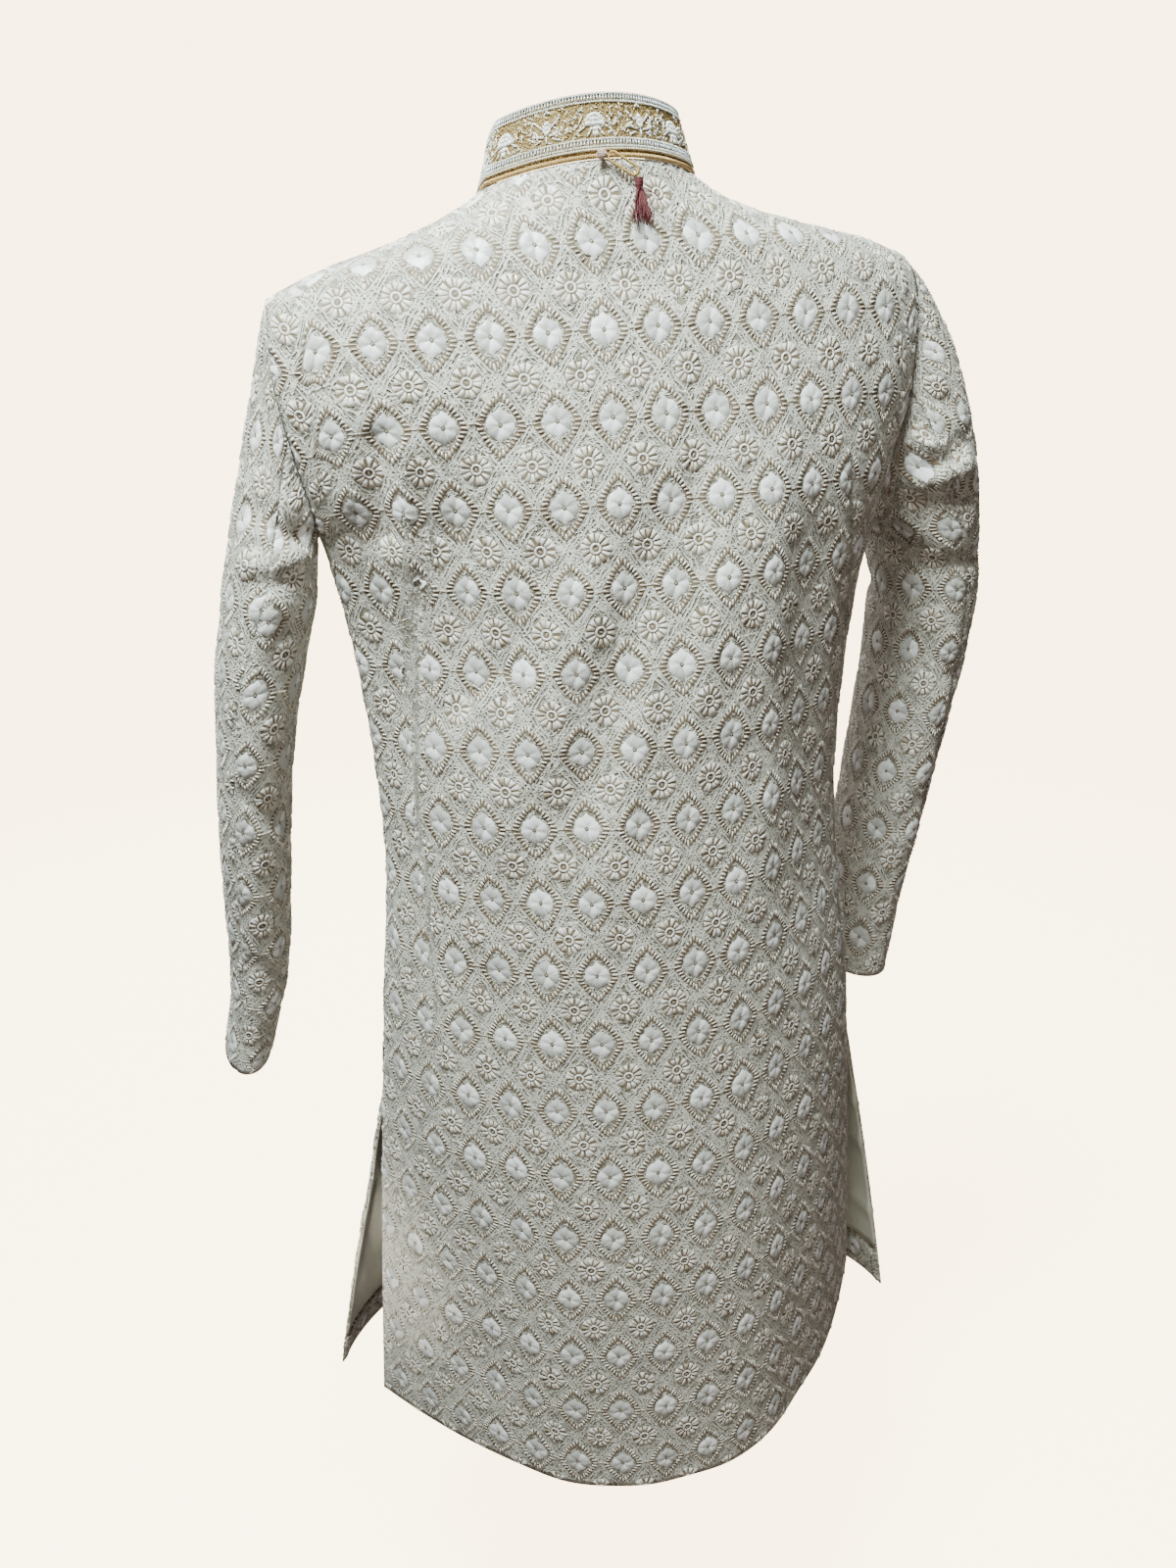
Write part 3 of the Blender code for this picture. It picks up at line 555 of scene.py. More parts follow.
class Cloth:
    """One cut piece: a fine grid of places with the flat cloth coordinates of each."""

    def __init__(self, points, u, v, outward):
        self.points, self.u, self.v, self.outward = points, u, v, outward
        self.normals = grid_normals(points, outward)

    def move(self, distance):
        """Moves each place along its normal."""
        self.points = self.points + self.normals * distance[..., None]
        self.normals = grid_normals(self.points, self.outward)

    def crease(self, lines, faces=None, held=0.0):
        """Moves the cloth by its creases.

        faces says for each line whether it shows on the hind (1) or the fore face (-1), and the
        creases fade out within the held distance of the side edges.
        """
        moved = np.zeros(self.u.shape)
        for k, line in enumerate(lines):
            height = crease_height(line, self.points[..., 0], self.points[..., 2])
            if faces:
                height = height * np.clip(0.3 + faces[k] * self.normals[..., 1] * 1.6, 0.0, 1.0)
            moved += height
        if held:
            across = lengths_along(self.points, 1)
            moved = moved * ease(np.clip(np.minimum(across, across[:, -1:] - across) / held, 0.0, 1.0))
        self.move(moved)

    def tuck(self, left=True, right=True, highest=1.0):
        """Draws the sewn side edges in, so that each seam lies in a groove."""
        across = lengths_along(self.points, 1)
        depth = np.zeros(self.u.shape)
        for used, away in ((left, across), (right, across[:, -1:] - across)):
            if used:
                depth = np.maximum(depth, SEAM_DEPTH * np.exp(-(away / SEAM_HALF_WIDTH) ** 2))
        for above in (self.points[..., 2] - SLIT_TOP_Z, highest - self.points[..., 2]):
            depth = depth * np.clip(above / SEAM_FADE, 0.0, 1.0)
        self.move(-depth)

    def lift(self, distance):
        """The same cloth moved out by a distance."""
        return Cloth(self.points + self.normals * distance, self.u, self.v, self.outward)

    def part(self, rows):
        """Some rows of the cloth."""
        made = Cloth(self.points[rows], self.u[rows], self.v[rows], self.outward[rows])
        made.normals = self.normals[rows]
        return made

    def cells(self, r, c):
        """Whole row and column of each grid place, and what is left over."""
        i, j = (np.clip(k.astype(int), 0, size - 2) for k, size in zip((r, c), self.u.shape))
        return i, j, r - i, c - j

    def find(self, u, v):
        """Grid places (row, column) of cloth coordinates, and which of them are on the cloth."""
        cu, cv = self.u[::4, ::4], self.v[::4, ::4]
        nearest = [np.argmin((cu - a) ** 2 + (cv - b) ** 2) for a, b in zip(u, v)]
        r, c = np.unravel_index(nearest, cu.shape)
        return self.refine(u, v, 4.0 * r, 4.0 * c)

    def refine(self, u, v, r, c):
        """Moves grid places step by step to the cloth coordinates wanted."""
        rows, columns = self.u.shape
        for _ in range(8):
            i, j, down, across = self.cells(r, c)
            found = []
            for grid, wanted in ((self.u, u), (self.v, v)):
                a, b, d, e = grid[i, j], grid[i + 1, j], grid[i, j + 1], grid[i + 1, j + 1]
                found.append((wanted - between(grid, i, j, down, across),
                              (b - a) * (1 - across) + (e - d) * across,
                              (d - a) * (1 - down) + (e - b) * down))
            (u_off, u_row, u_column), (v_off, v_row, v_column) = found
            det = u_row * v_column - u_column * v_row
            det = np.where(np.abs(det) < 1e-12, 1e-12, det)
            r = np.clip(r + np.clip((u_off * v_column - v_off * u_column) / det, -8, 8), -1.0, rows)
            c = np.clip(c + np.clip((v_off * u_row - u_off * v_row) / det, -8, 8), -1.0, columns)
        i, j = self.cells(r, c)[:2]
        # a dart has taken the cloth up where its flat width is well over the width in place
        real = np.linalg.norm(self.points[i, j + 1] - self.points[i, j], axis=-1)
        taken_up = np.abs(self.u[i, j + 1] - self.u[i, j]) > 1.45 * real + 0.0004
        on = (r >= 0) & (c >= 0) & (r <= rows - 1) & (c <= columns - 1)
        return r, c, on & (np.hypot(u_off, v_off) < FOUND_WITHIN) & ~taken_up

    def place(self, r, c, height):
        """Points at grid places, a height above the cloth."""
        i, j, down, across = self.cells(r, c)
        points, normals = (between(grid, i, j, down[:, None], across[:, None])
                           for grid in (self.points, self.normals))
        return points + unit(normals) * height[:, None]


def shown(mesh, finishes):
    """The object of a mesh in the scene, smoothly shaded, with its finishes by name."""
    for name in finishes:
        mesh.materials.append(finish_named(name))
    mesh.shade_smooth()
    obj = bpy.data.objects.new(mesh.name, mesh)
    bpy.context.scene.collection.objects.link(obj)
    return obj


def mesh_object(name, bm, *finishes):
    """The object of a finished bmesh."""
    mesh = bpy.data.meshes.new(name)
    bm.to_mesh(mesh)
    bm.free()
    return shown(mesh, finishes)


def spun(profile, steps, merged):
    """A profile of (radius, height) spun round the upright axis."""
    bm = bmesh.new()
    verts = [bm.verts.new((radius, 0.0, height)) for radius, height in profile]
    edges = [bm.edges.new(pair) for pair in zip(verts, verts[1:])]
    bmesh.ops.spin(bm, geom=verts + edges, cent=(0, 0, 0), axis=(0, 0, 1), angle=2 * math.pi, steps=steps,
                   use_merge=True)
    bmesh.ops.remove_doubles(bm, verts=bm.verts[:], dist=merged)
    bmesh.ops.recalc_face_normals(bm, faces=bm.faces[:])
    return bm


def cloth_object(name, cloth, thickness, finishes):
    """A shell of even thickness behind a cloth's grid, with the cloth coordinates as its UV map."""
    rows, columns = cloth.u.shape
    bm = bmesh.new()
    bm.loops.layers.uv.new("cloth")
    bmesh.ops.create_grid(bm, x_segments=columns - 1, y_segments=rows - 1, size=1.0)
    obj = mesh_object(name, bm, *finishes)
    mesh = obj.data
    co = np.empty((len(mesh.vertices), 3))
    mesh.vertices.foreach_get("co", co.ravel())
    c, r = (np.rint((co[:, k] + 1) / 2 * (size - 1)).astype(int) for k, size in ((0, columns), (1, rows)))
    mesh.vertices.foreach_set("co", cloth.points[r, c].ravel())
    corner = np.empty(len(mesh.loops), int)
    mesh.loops.foreach_get("vertex_index", corner)
    uv = np.stack((cloth.u[r, c], cloth.v[r, c]), axis=1)[corner]
    mesh.uv_layers["cloth"].data.foreach_set("uv", uv.ravel())
    mesh.update()
    middle = mesh.polygons[len(mesh.polygons) // 2]
    if middle.normal.dot(cloth.normals[r[middle.vertices[0]], c[middle.vertices[0]]]) < 0:
        mesh.flip_normals()
    solid = obj.modifiers.new("wall", "SOLIDIFY")
    solid.thickness, solid.offset, solid.use_rim = thickness, -1.0, True
    solid.material_offset = len(finishes) - 1
    return obj


def arrays_object(name, points, faces, slots, finishes):
    """One joined mesh from arrays of points, triangles and material slots."""
    mesh = bpy.data.meshes.new(name)
    mesh.vertices.add(len(points))
    mesh.vertices.foreach_set("co", np.asarray(points, float).ravel())
    mesh.loops.add(len(faces) * 3)
    mesh.loops.foreach_set("vertex_index", np.asarray(faces, int).ravel())
    mesh.polygons.add(len(faces))
    mesh.polygons.foreach_set("loop_start", np.arange(len(faces)) * 3)
    mesh.polygons.foreach_set("material_index", np.asarray(slots, int))
    mesh.update(calc_edges=True)
    obj = shown(mesh, finishes)
    mesh.validate()
    return obj


# ---------------------------------------------------------------- sewn pieces

def upper_coordinates(side, x, z, widest=0.262, top_z=0.020):
    """Cloth coordinates above the armhole base, measured along the cloth."""
    xs, zs = np.linspace(0.0, widest, 132), np.linspace(ARMHOLE_BASE_Z, top_z, 126)
    grid_x, grid_z = np.meshgrid(xs, zs, indexing="ij")
    places = np.stack((grid_x, depth_of(side, grid_x, grid_z), grid_z), axis=-1)
    across, up = (lengths_along(places, axis) for axis in (0, 1))
    fx = np.clip(np.abs(x) / (xs[1] - xs[0]), 0, len(xs) - 1.001)
    fz = np.clip((z - zs[0]) / (zs[1] - zs[0]), 0, len(zs) - 1.001)
    i, j = fx.astype(int), fz.astype(int)
    fx, fz = fx - i, fz - j
    out, above = (between(table, i, j, fx, fz) for table in (across, up))
    base = np.interp(ROW_A_Z, zs, up[0])
    return np.where(x < 0, -out, out), base - above, base


def body_cloth(side, across, rows_above=48, rows_below=154):
    """Fine grid of a back or front panel."""
    down = np.linspace(0.0, 1.0, rows_above)
    heights = np.linspace(ARMHOLE_BASE_Z, HEM_Z, rows_below + 1)[1:]
    x, z = upper_places(side, *np.meshgrid(across, down))
    upper = section_points(side, x, z)
    upper_u, upper_v, base = upper_coordinates(side, x, z)
    lower = lower_points(side, *np.meshgrid(across, heights))
    points = np.concatenate((upper, lower))
    along = lengths_along(points, 1)
    middle = np.array([np.interp(0.0, across, row) for row in along])
    u = along - middle[:, None]
    u[:rows_above] = upper_u
    v = np.concatenate((upper_v, np.zeros(lower.shape[:2])))
    centre = np.array([[np.interp(0.0, across, points[r, :, k]) for k in range(3)]
                       for r in range(rows_above - 1, len(points))])
    v[rows_above:] = base + lengths_along(centre[:, None], 0)[1:]
    return Cloth(points, u, v, points * (1.0, 1.0, 0.0))


def pitches():
    """Across and down from motif to motif."""
    sizes = bpy.context.scene.coat_sizes
    return sizes.column_pitch, sizes.row_pitch


def back_cloth():
    """The back panel, with its darts, creases and side seams."""
    across = np.linspace(-1.0, 1.0, 121)
    cloth = body_cloth("back", across)
    x, z = cloth.points[..., 0], cloth.points[..., 2]
    line, intake = (curve_value(DART, DART_COLUMNS, name, z) for name in DART_COLUMNS[1:])
    for sign in (1, -1):
        beyond = sign * x > line
        cloth.u = cloth.u + sign * np.where(beyond, intake, 0.0)
        groove = np.exp(-((sign * x - line) / DART_HALF_WIDTH) ** 2) * np.clip(intake / DART_FULL, 0.0, 1.0)
        cloth.points[..., 1] -= DART_DEPTH * groove
    cloth.normals = grid_normals(cloth.points, cloth.outward)
    cloth.crease(BACK_HOLLOW, held=HOLLOW_HELD)
    cloth.crease(BACK_CREASES)
    cloth.tuck(highest=ARMHOLE_BASE_Z)
    cloth.u = cloth.u - COLUMN_SHIFT * pitches()[0]
    return cloth


def front_cloth(word):
    """One front panel, from its front edge to the side seam."""
    edge = LEFT_EDGE if word == "left" else RIGHT_EDGE
    across = np.concatenate((np.linspace(-edge, 0.0, 5)[:-1], np.linspace(0.0, 1.0, 61)))
    if word == "right":
        across = -across
    cloth = body_cloth("front", across if word == "left" else across[::-1])
    cloth.crease(FRONT_CREASES)
    cloth.tuck(word == "right", word == "left", ARMHOLE_BASE_Z)
    if word == "right":
        # the right front lies under the left one
        sunk = np.clip((across[::-1] - LAP_START) / LAP_EASE, 0.0, 1.0)
        cloth.points = cloth.points - cloth.normals * (sunk * (WALL + 2 * GAP))[None, :, None]
    return cloth


def inside_cloths(word):
    """Skirt lining and turned-up hem behind one front."""
    across = np.linspace(LINING_START, 1.0, 60)
    across = across if word == "left" else -across[::-1]
    cloth = body_cloth("front", across, rows_above=4, rows_below=400)
    cloth.crease(FRONT_CREASES)
    edge = slice(-1, None) if word == "left" else slice(0, 1)
    near = slice(-2, -1) if word == "left" else slice(1, 2)
    cloth.points[:, edge] += LINING_SETBACK * unit(cloth.points[:, near] - cloth.points[:, edge])
    cloth = cloth.lift(-(WALL + GAP))
    heights = cloth.points[:, 0, 2]
    top_z = SLIT_TOP_Z + LINING_ABOVE_SLIT
    lining_rows = np.flatnonzero((heights < top_z) & (heights > HEM_Z + FACING_HEIGHT + GAP))
    facing_rows = np.flatnonzero((heights < HEM_Z + FACING_HEIGHT - GAP) & (heights > HEM_Z + 2 * GAP))
    lining = cloth.part(slice(lining_rows[0], lining_rows[-1] + 1, 3))
    lining.crease(LINING_CREASES[word])
    return lining, cloth.part(slice(facing_rows[0], facing_rows[-1] + 1, 2))


def sleeve_cloth(word, first, last, lattice, head_rows=24, lower_rows=82):
    """Fine grid of one sleeve piece, from armhole to cuff."""
    turns = np.linspace(first, last, 65)
    table = SLEEVES[word]
    sign = 1 if word == "left" else -1
    loop = armhole_points(word, turns)
    top_z = table[0][0]
    head = sleeve_section(word, turns, np.full(turns.shape, top_z))
    below = sleeve_section(word, turns, np.full(turns.shape, top_z - 0.01))
    every = armhole_points(word, np.arange(2.0 * ARMHOLE_ROWS))
    spoke = unit(loop - every.mean(axis=0))
    spoke[:, 0] += sign * np.clip(spoke[:, 2], 0.0, 1.0)
    drop = np.linalg.norm(head - loop, axis=1, keepdims=True)
    start = (head - loop) + 6.0 * SLEEVE_FULLNESS[word] * spoke
    end = (below - head) / 0.01 * drop
    rows = [smooth_between(t, loop, start, head, end) for t in np.linspace(0.0, 1.0, head_rows + 1)[:-1]]
    rows += [sleeve_section(word, turns, np.full(turns.shape, z))
             for z in np.linspace(top_z, table[-1][0], lower_rows)]
    points = np.array(rows)
    heights = points[..., 2]
    centre_x = sign * curve_value(table, SLEEVE_COLUMNS, "x", heights)
    centre_y = curve_value(table, SLEEVE_COLUMNS, "y", heights)
    outward = np.stack((points[..., 0] - centre_x, points[..., 1] - centre_y, 0 * heights), -1)
    outward[heights > top_z] *= 0.2
    middle = points.shape[1] // 2
    along = lengths_along(points, 1)
    u = along - along[:, middle : middle + 1]
    down = lengths_along(points, 0)
    v = down[-1, middle] - (down[-1] - down)
    turn = 1 if first < HIND_SEAM else -1
    cloth = Cloth(points, -sign * turn * u, v, outward)
    hind, fore = SLEEVE_CREASES[word]
    cloth.crease(hind + fore, faces=[1] * len(hind) + [-1] * len(fore))
    cloth.tuck()
    cloth.u, cloth.v = (grid - shift * pitch
                        for grid, shift, pitch in zip((cloth.u, cloth.v), lattice, pitches()))
    return cloth


# ---------------------------------------------------------------- embroidery motifs

def shape_arrays(bm):
    """Points and triangles of a bmesh, as arrays."""
    bmesh.ops.triangulate(bm, faces=bm.faces[:])
    bm.verts.ensure_lookup_table()
    points = np.array([v.co[:] for v in bm.verts])
    faces = np.array([[v.index for v in f.verts] for f in bm.faces])
    bm.free()
    return points, faces


def block_arrays():
    """Corner signs and triangles of one stitch: a low block, open underneath."""
    bm = bmesh.new()
    bmesh.ops.create_cube(bm, size=2.0)
    bm.normal_update()
    bmesh.ops.delete(bm, geom=[f for f in bm.faces if f.normal.z < -0.5], context="FACES_ONLY")
    return shape_arrays(bm)


BLOCK, BLOCK_FACES = block_arrays()


def ring(angles, radius, height):
    """Points round a circle of one or many radii and heights."""
    return np.stack((radius * np.cos(angles), radius * np.sin(angles), 0 * angles + height), axis=1)


def turned(x, y, angle):
    """Places (x, y) turned by an angle."""
    cos, sin = np.cos(angle), np.sin(angle)
    return x * cos - y * sin, x * sin + y * cos


class Motif:
    """Stitches of one motif, gathered as arrays.  Sizes in millimetres on the cloth."""

    def __init__(self):
        self.points, self.faces, self.units, self.slots = [], [], [], []
        self.count = self.unit = 0

    def add(self, points, faces, slots, units=0):
        """A patch of triangles, whose units are the parts left out as one where they would not fit."""
        self.points.append(points)
        self.faces.append(np.asarray(faces) + self.count)
        self.units.append(self.unit + np.broadcast_to(units, len(faces)))
        self.slots.append(np.broadcast_to(slots, len(faces)))
        self.count += len(points)
        self.unit += np.max(units) + 1

    def stitch(self, x, y, angle, length, width, height, slot, lift=0.0, taper=1.0):
        """One satin stitch; taper is its inner end's width over its outer end's."""
        top = BLOCK[:, 2] > 0
        narrow = np.where(BLOCK[:, 0] > 0, 1.0, taper)
        a, b = turned(BLOCK[:, 0] * 0.5 * length * np.where(top, 0.86, 1.0),
                      BLOCK[:, 1] * 0.5 * width * np.where(top, 0.5, 1.0) * narrow, angle)
        z = np.where(top, lift + height, lift - 0.15)
        self.add(np.stack((x + a, y + b, z), axis=1), BLOCK_FACES, slot)

    def rings(self, loops, slots):
        """Bands between closed loops of points."""
        count, bands = len(loops[0]), len(loops) - 1
        faces = []
        for k in range(bands):
            for i in range(count):
                a, b = k * count + i, k * count + (i + 1) % count
                faces += [(a, b + count, b), (a, a + count, b + count)]
        self.add(np.concatenate(loops), faces, np.tile(np.repeat(np.broadcast_to(slots, count), 2), bands),
                 np.repeat(np.arange(bands * count), 2))

    def disc(self, radius, height, slot, sides=8):
        """Small domed spot."""
        rim = ring(np.arange(sides) * 2 * math.pi / sides, radius, 0.1)
        self.add(np.concatenate((rim, [[0.0, 0.0, height]])),
                 [(i, (i + 1) % sides, sides) for i in range(sides)], slot)

    def arrays(self):
        return [np.concatenate(parts) for parts in (self.points, self.faces, self.units, self.slots)]


def diamond_curve(half_width, half_height, power, angle):
    """Points of a round-sided diamond at the given angles."""
    x, y = (half * np.sign(part) * np.abs(part) ** (2 / power)
            for half, part in ((half_width, np.cos(angle)), (half_height, np.sin(angle))))
    return x, y


def even_angles(half_width, half_height, power, count):
    """Angles that space points evenly round a diamond."""
    angle = np.linspace(0.0, 2 * math.pi, 721)
    x, y = diamond_curve(half_width, half_height, power, angle)
    run = np.concatenate(([0.0], np.cumsum(np.hypot(np.diff(x), np.diff(y)))))
    return np.interp(np.linspace(0.0, run[-1], count, endpoint=False), run, angle)


# finishes of the embroidery's slots 0 to 5
STITCH_SLOTS = ("satin", "cream", "pale", "taupe", "silver", "zari")


def diamond_motif(rng):
    """Padded white flower in a pointed field, with a ladder of stitches round it."""
    made = Motif()
    count = 32
    angle = even_angles(*DIAMOND_OUTER, count)
    (ox, oy), (ix, iy) = (diamond_curve(*shape, angle) for shape in (DIAMOND_OUTER, DIAMOND_INNER))
    # dark taupe band under the ladder: painted shade in the gaps between its stitches
    made.rings([np.stack((part * x[::2], part * y[::2], np.full(count // 2, 0.16)), axis=1)
                for part, x, y in ((0.97, ix, iy), (1.0, ox, oy))], 3)
    for i in range(count):
        a, b = rng.uniform(-0.10, 0.10), rng.uniform(0.84, 1.06)
        (x0, x1), (y0, y1) = ([low[i] + t * (high[i] - low[i]) for t in (a, b)]
                              for low, high in ((ix, ox), (iy, oy)))
        lean = math.atan2(y1 - y0, x1 - x0) + rng.normal(0, 0.10)
        slot = rng.choice((1, 2, 5), p=(0.55, 0.42, 0.03))
        made.stitch(0.5 * (x0 + x1), 0.5 * (y0 + y1), lean, math.hypot(x1 - x0, y1 - y0),
                    1.82 + rng.normal(0, 0.30), rng.uniform(0.45, 0.95), slot, taper=0.72)
    petals, each = 6, 4
    places = np.arange(petals * each)
    angles = places * 2 * math.pi / (petals * each)
    places = places + int(rng.integers(0, each))
    lobes = np.abs(np.sin(places * math.pi / each)) ** 0.7
    tip = np.exp(-((np.abs(np.abs(angles - math.pi) - math.pi / 2)) / 0.16) ** 2)
    radius = 9.0 + 0.6 * lobes + 2.4 * tip
    # each petal takes the white floss or its grey copy at random: painted shade standing in for the satin's
    # sheen, which changes with each petal's direction
    petal_shade_slots = rng.choice((0, 4), size=petals, p=(0.5, 0.5))
    made.rings([ring(angles, part * radius, 0.1 + rise * (0.45 + 0.55 * lobes))
                for part, rise in ((0.17, 0.35), (0.45, 1.05), (0.80, 1.00), (1.0, 0.05))],
               petal_shade_slots[(places // each) % petals])
    made.disc(2.0, 0.75, 3)
    made.disc(0.9, 1.25, 4, sides=6)
    made.stitch(19.1, 0.0, rng.normal(0, 0.1), 4.0, 1.1, 0.5, 1)
    return made.arrays()


def daisy_motif(rng):
    """Ring with wedge stitches round it and a dark eye."""
    made = Motif()
    count = 13
    angles = (np.arange(count + 2) + rng.random()) * 2 * math.pi / (count + 2)
    # dark taupe band under the wedge stitches: painted shade in the gaps between them
    made.rings([ring(angles, 4.2, 0.16), ring(angles, 10.3, 0.16)], 3)
    start = rng.random()
    for i in range(count):
        angle = (i + start) * 2 * math.pi / count + rng.normal(0, 0.05)
        length = 5.9 + rng.normal(0, 0.5)
        slot = rng.choice((1, 2, 5), p=(0.50, 0.48, 0.02))
        made.stitch(*turned(4.5 + 0.5 * length, 0.0, angle), angle, length,
                    4.45 + rng.normal(0, 0.3), rng.uniform(0.4, 0.8), slot, taper=0.42)
    angles = np.arange(10) * 2 * math.pi / 10
    made.rings([ring(angles, radius, high) for radius, high in ((2.4, 0.05), (3.3, 0.95), (4.2, 0.05))], 2)
    made.disc(2.6, 0.18, 3)
    made.stitch(0.0, 0.0, rng.uniform(0, math.pi), 2.8, 0.7, 0.35, 4, lift=0.1)
    return made.arrays()


def embroider(name, cloth, seed, keep=None):
    """All diamonds and daisies of one piece as a joined mesh.

    Stitches that would cross an edge or a dart are left out.  keep, if given, tells from places
    which stitches may stay.
    """
    rng = np.random.default_rng(seed)
    columns, rows = (range(math.floor(grid.min() / pitch), math.ceil(grid.max() / pitch) + 1)
                     for grid, pitch in zip((cloth.u, cloth.v), pitches()))
    all_points, all_faces, all_slots = [], [], []
    total = 0
    for motif, offset in ((diamond_motif, 0.0), (daisy_motif, 0.5)):
        variants = [motif(rng) for _ in range(4)]
        spots = np.array([(i + offset, j + offset) for i in columns for j in rows]) * pitches()
        r, c, _ = cloth.find(*spots.T)
        chosen = rng.integers(0, len(variants), len(spots))
        for k, (points, faces, units, slots) in enumerate(variants):
            mine = np.flatnonzero(chosen == k)
            count = len(mine)
            if not count:
                continue
            upright = motif is diamond_motif
            turn = rng.normal(0, TURN_SPREAD, count) if upright else rng.uniform(0, 6.28, count)
            size = 0.001 * (1 + rng.normal(0, SIZE_SPREAD, count))
            x, y = turned(points[:, 0], points[:, 1], turn[:, None])
            u, v = ((spots[mine, n, None] + part * size[:, None]).ravel() for n, part in enumerate((x, y)))
            rr, cc, good = cloth.refine(u, v, *(np.repeat(part[mine], len(points)) for part in (r, c)))
            places = cloth.place(rr, cc, np.tile(points[:, 2] * 0.001, count))
            if keep is not None:
                good &= keep(places)
            copies = np.arange(count)[:, None]
            faces = (faces[None] + len(points) * copies[..., None]).reshape(-1, 3)
            units = (units[None] + (units.max() + 1) * copies).ravel()
            whole = np.ones(units.max() + 1, bool)
            whole[units[~good[faces].all(axis=1)]] = False
            kept = whole[units]
            all_points.append(places)
            all_faces.append(faces[kept] + total)
            all_slots.append(np.tile(slots, count)[kept])
            total += len(places)
    used, faces = np.unique(np.concatenate(all_faces), return_inverse=True)
    faces = faces.reshape(-1, 3)
    points = np.concatenate(all_points)[used]
    # the faces have to look away from the cloth
    some = faces[:: max(1, len(faces) // 200)]
    a, b, c = (points[some[:, k]] for k in range(3))
    grid, normals = (part.reshape(-1, 3)[::37] for part in (cloth.points, cloth.normals))
    near = [np.argmin(((grid - middle) ** 2).sum(1)) for middle in (a + b + c) / 3]
    if np.sum(np.cross(b - a, c - a) * normals[near]) < 0:
        faces = faces[:, ::-1]
    return arrays_object(name, points, faces, np.concatenate(all_slots), STITCH_SLOTS)


# ---------------------------------------------------------------- materials

def linear(code):
    """Linear colour of an sRGB hex code."""
    parts = [int(code[i : i + 2], 16) / 255 for i in (0, 2, 4)]
    return tuple(c / 12.92 if c <= 0.04045 else ((c + 0.055) / 1.055) ** 2.4 for c in parts)


def node(mat, kind, inputs=None, output=0, **settings):
    """Adds a node with its settings and links, and gives back one of its outputs."""
    made = mat.node_tree.nodes.new(kind)
    for name, value in settings.items():
        setattr(made, name, value)
    for key, value in (inputs or {}).items():
        if isinstance(value, bpy.types.NodeSocket):
            mat.node_tree.links.new(value, made.inputs[key])
        else:
            made.inputs[key].default_value = value
    return made.outputs[output]


def surface(name, **values):
    """New material, with plain values on its shader's own sockets."""
    mat = bpy.data.materials.new(name)
    mat.use_nodes = True
    for key, value in values.items():
        mat.node_tree.nodes["Principled BSDF"].inputs[key.replace("_", " ")].default_value = value
    return mat


def cloth_millimetres(mat):
    """Places on the flat cloth, in millimetres."""
    place = node(mat, "ShaderNodeUVMap", uv_map="cloth")
    return node(mat, "ShaderNodeVectorMath", {0: place, "Scale": 1000.0}, operation="SCALE")


def finish(mat, factor, low, high, height=None, tone=None, **relief):
    """Colours a material between two tones, scaled by a third where given, and raises its relief."""
    shader = mat.node_tree.nodes["Principled BSDF"]
    shade = node(mat, "ShaderNodeMix", {0: factor, 6: (*low, 1.0), 7: (*high, 1.0)}, output=2,
                 data_type="RGBA")
    if tone:
        shade = node(mat, "ShaderNodeVectorMath", {0: shade, "Scale": tone}, operation="SCALE")
    mat.node_tree.links.new(shade, shader.inputs["Base Color"])
    if height:
        bump = node(mat, "ShaderNodeBump", {"Height": height, **relief})
        mat.node_tree.links.new(bump, shader.inputs["Normal"])
    return mat


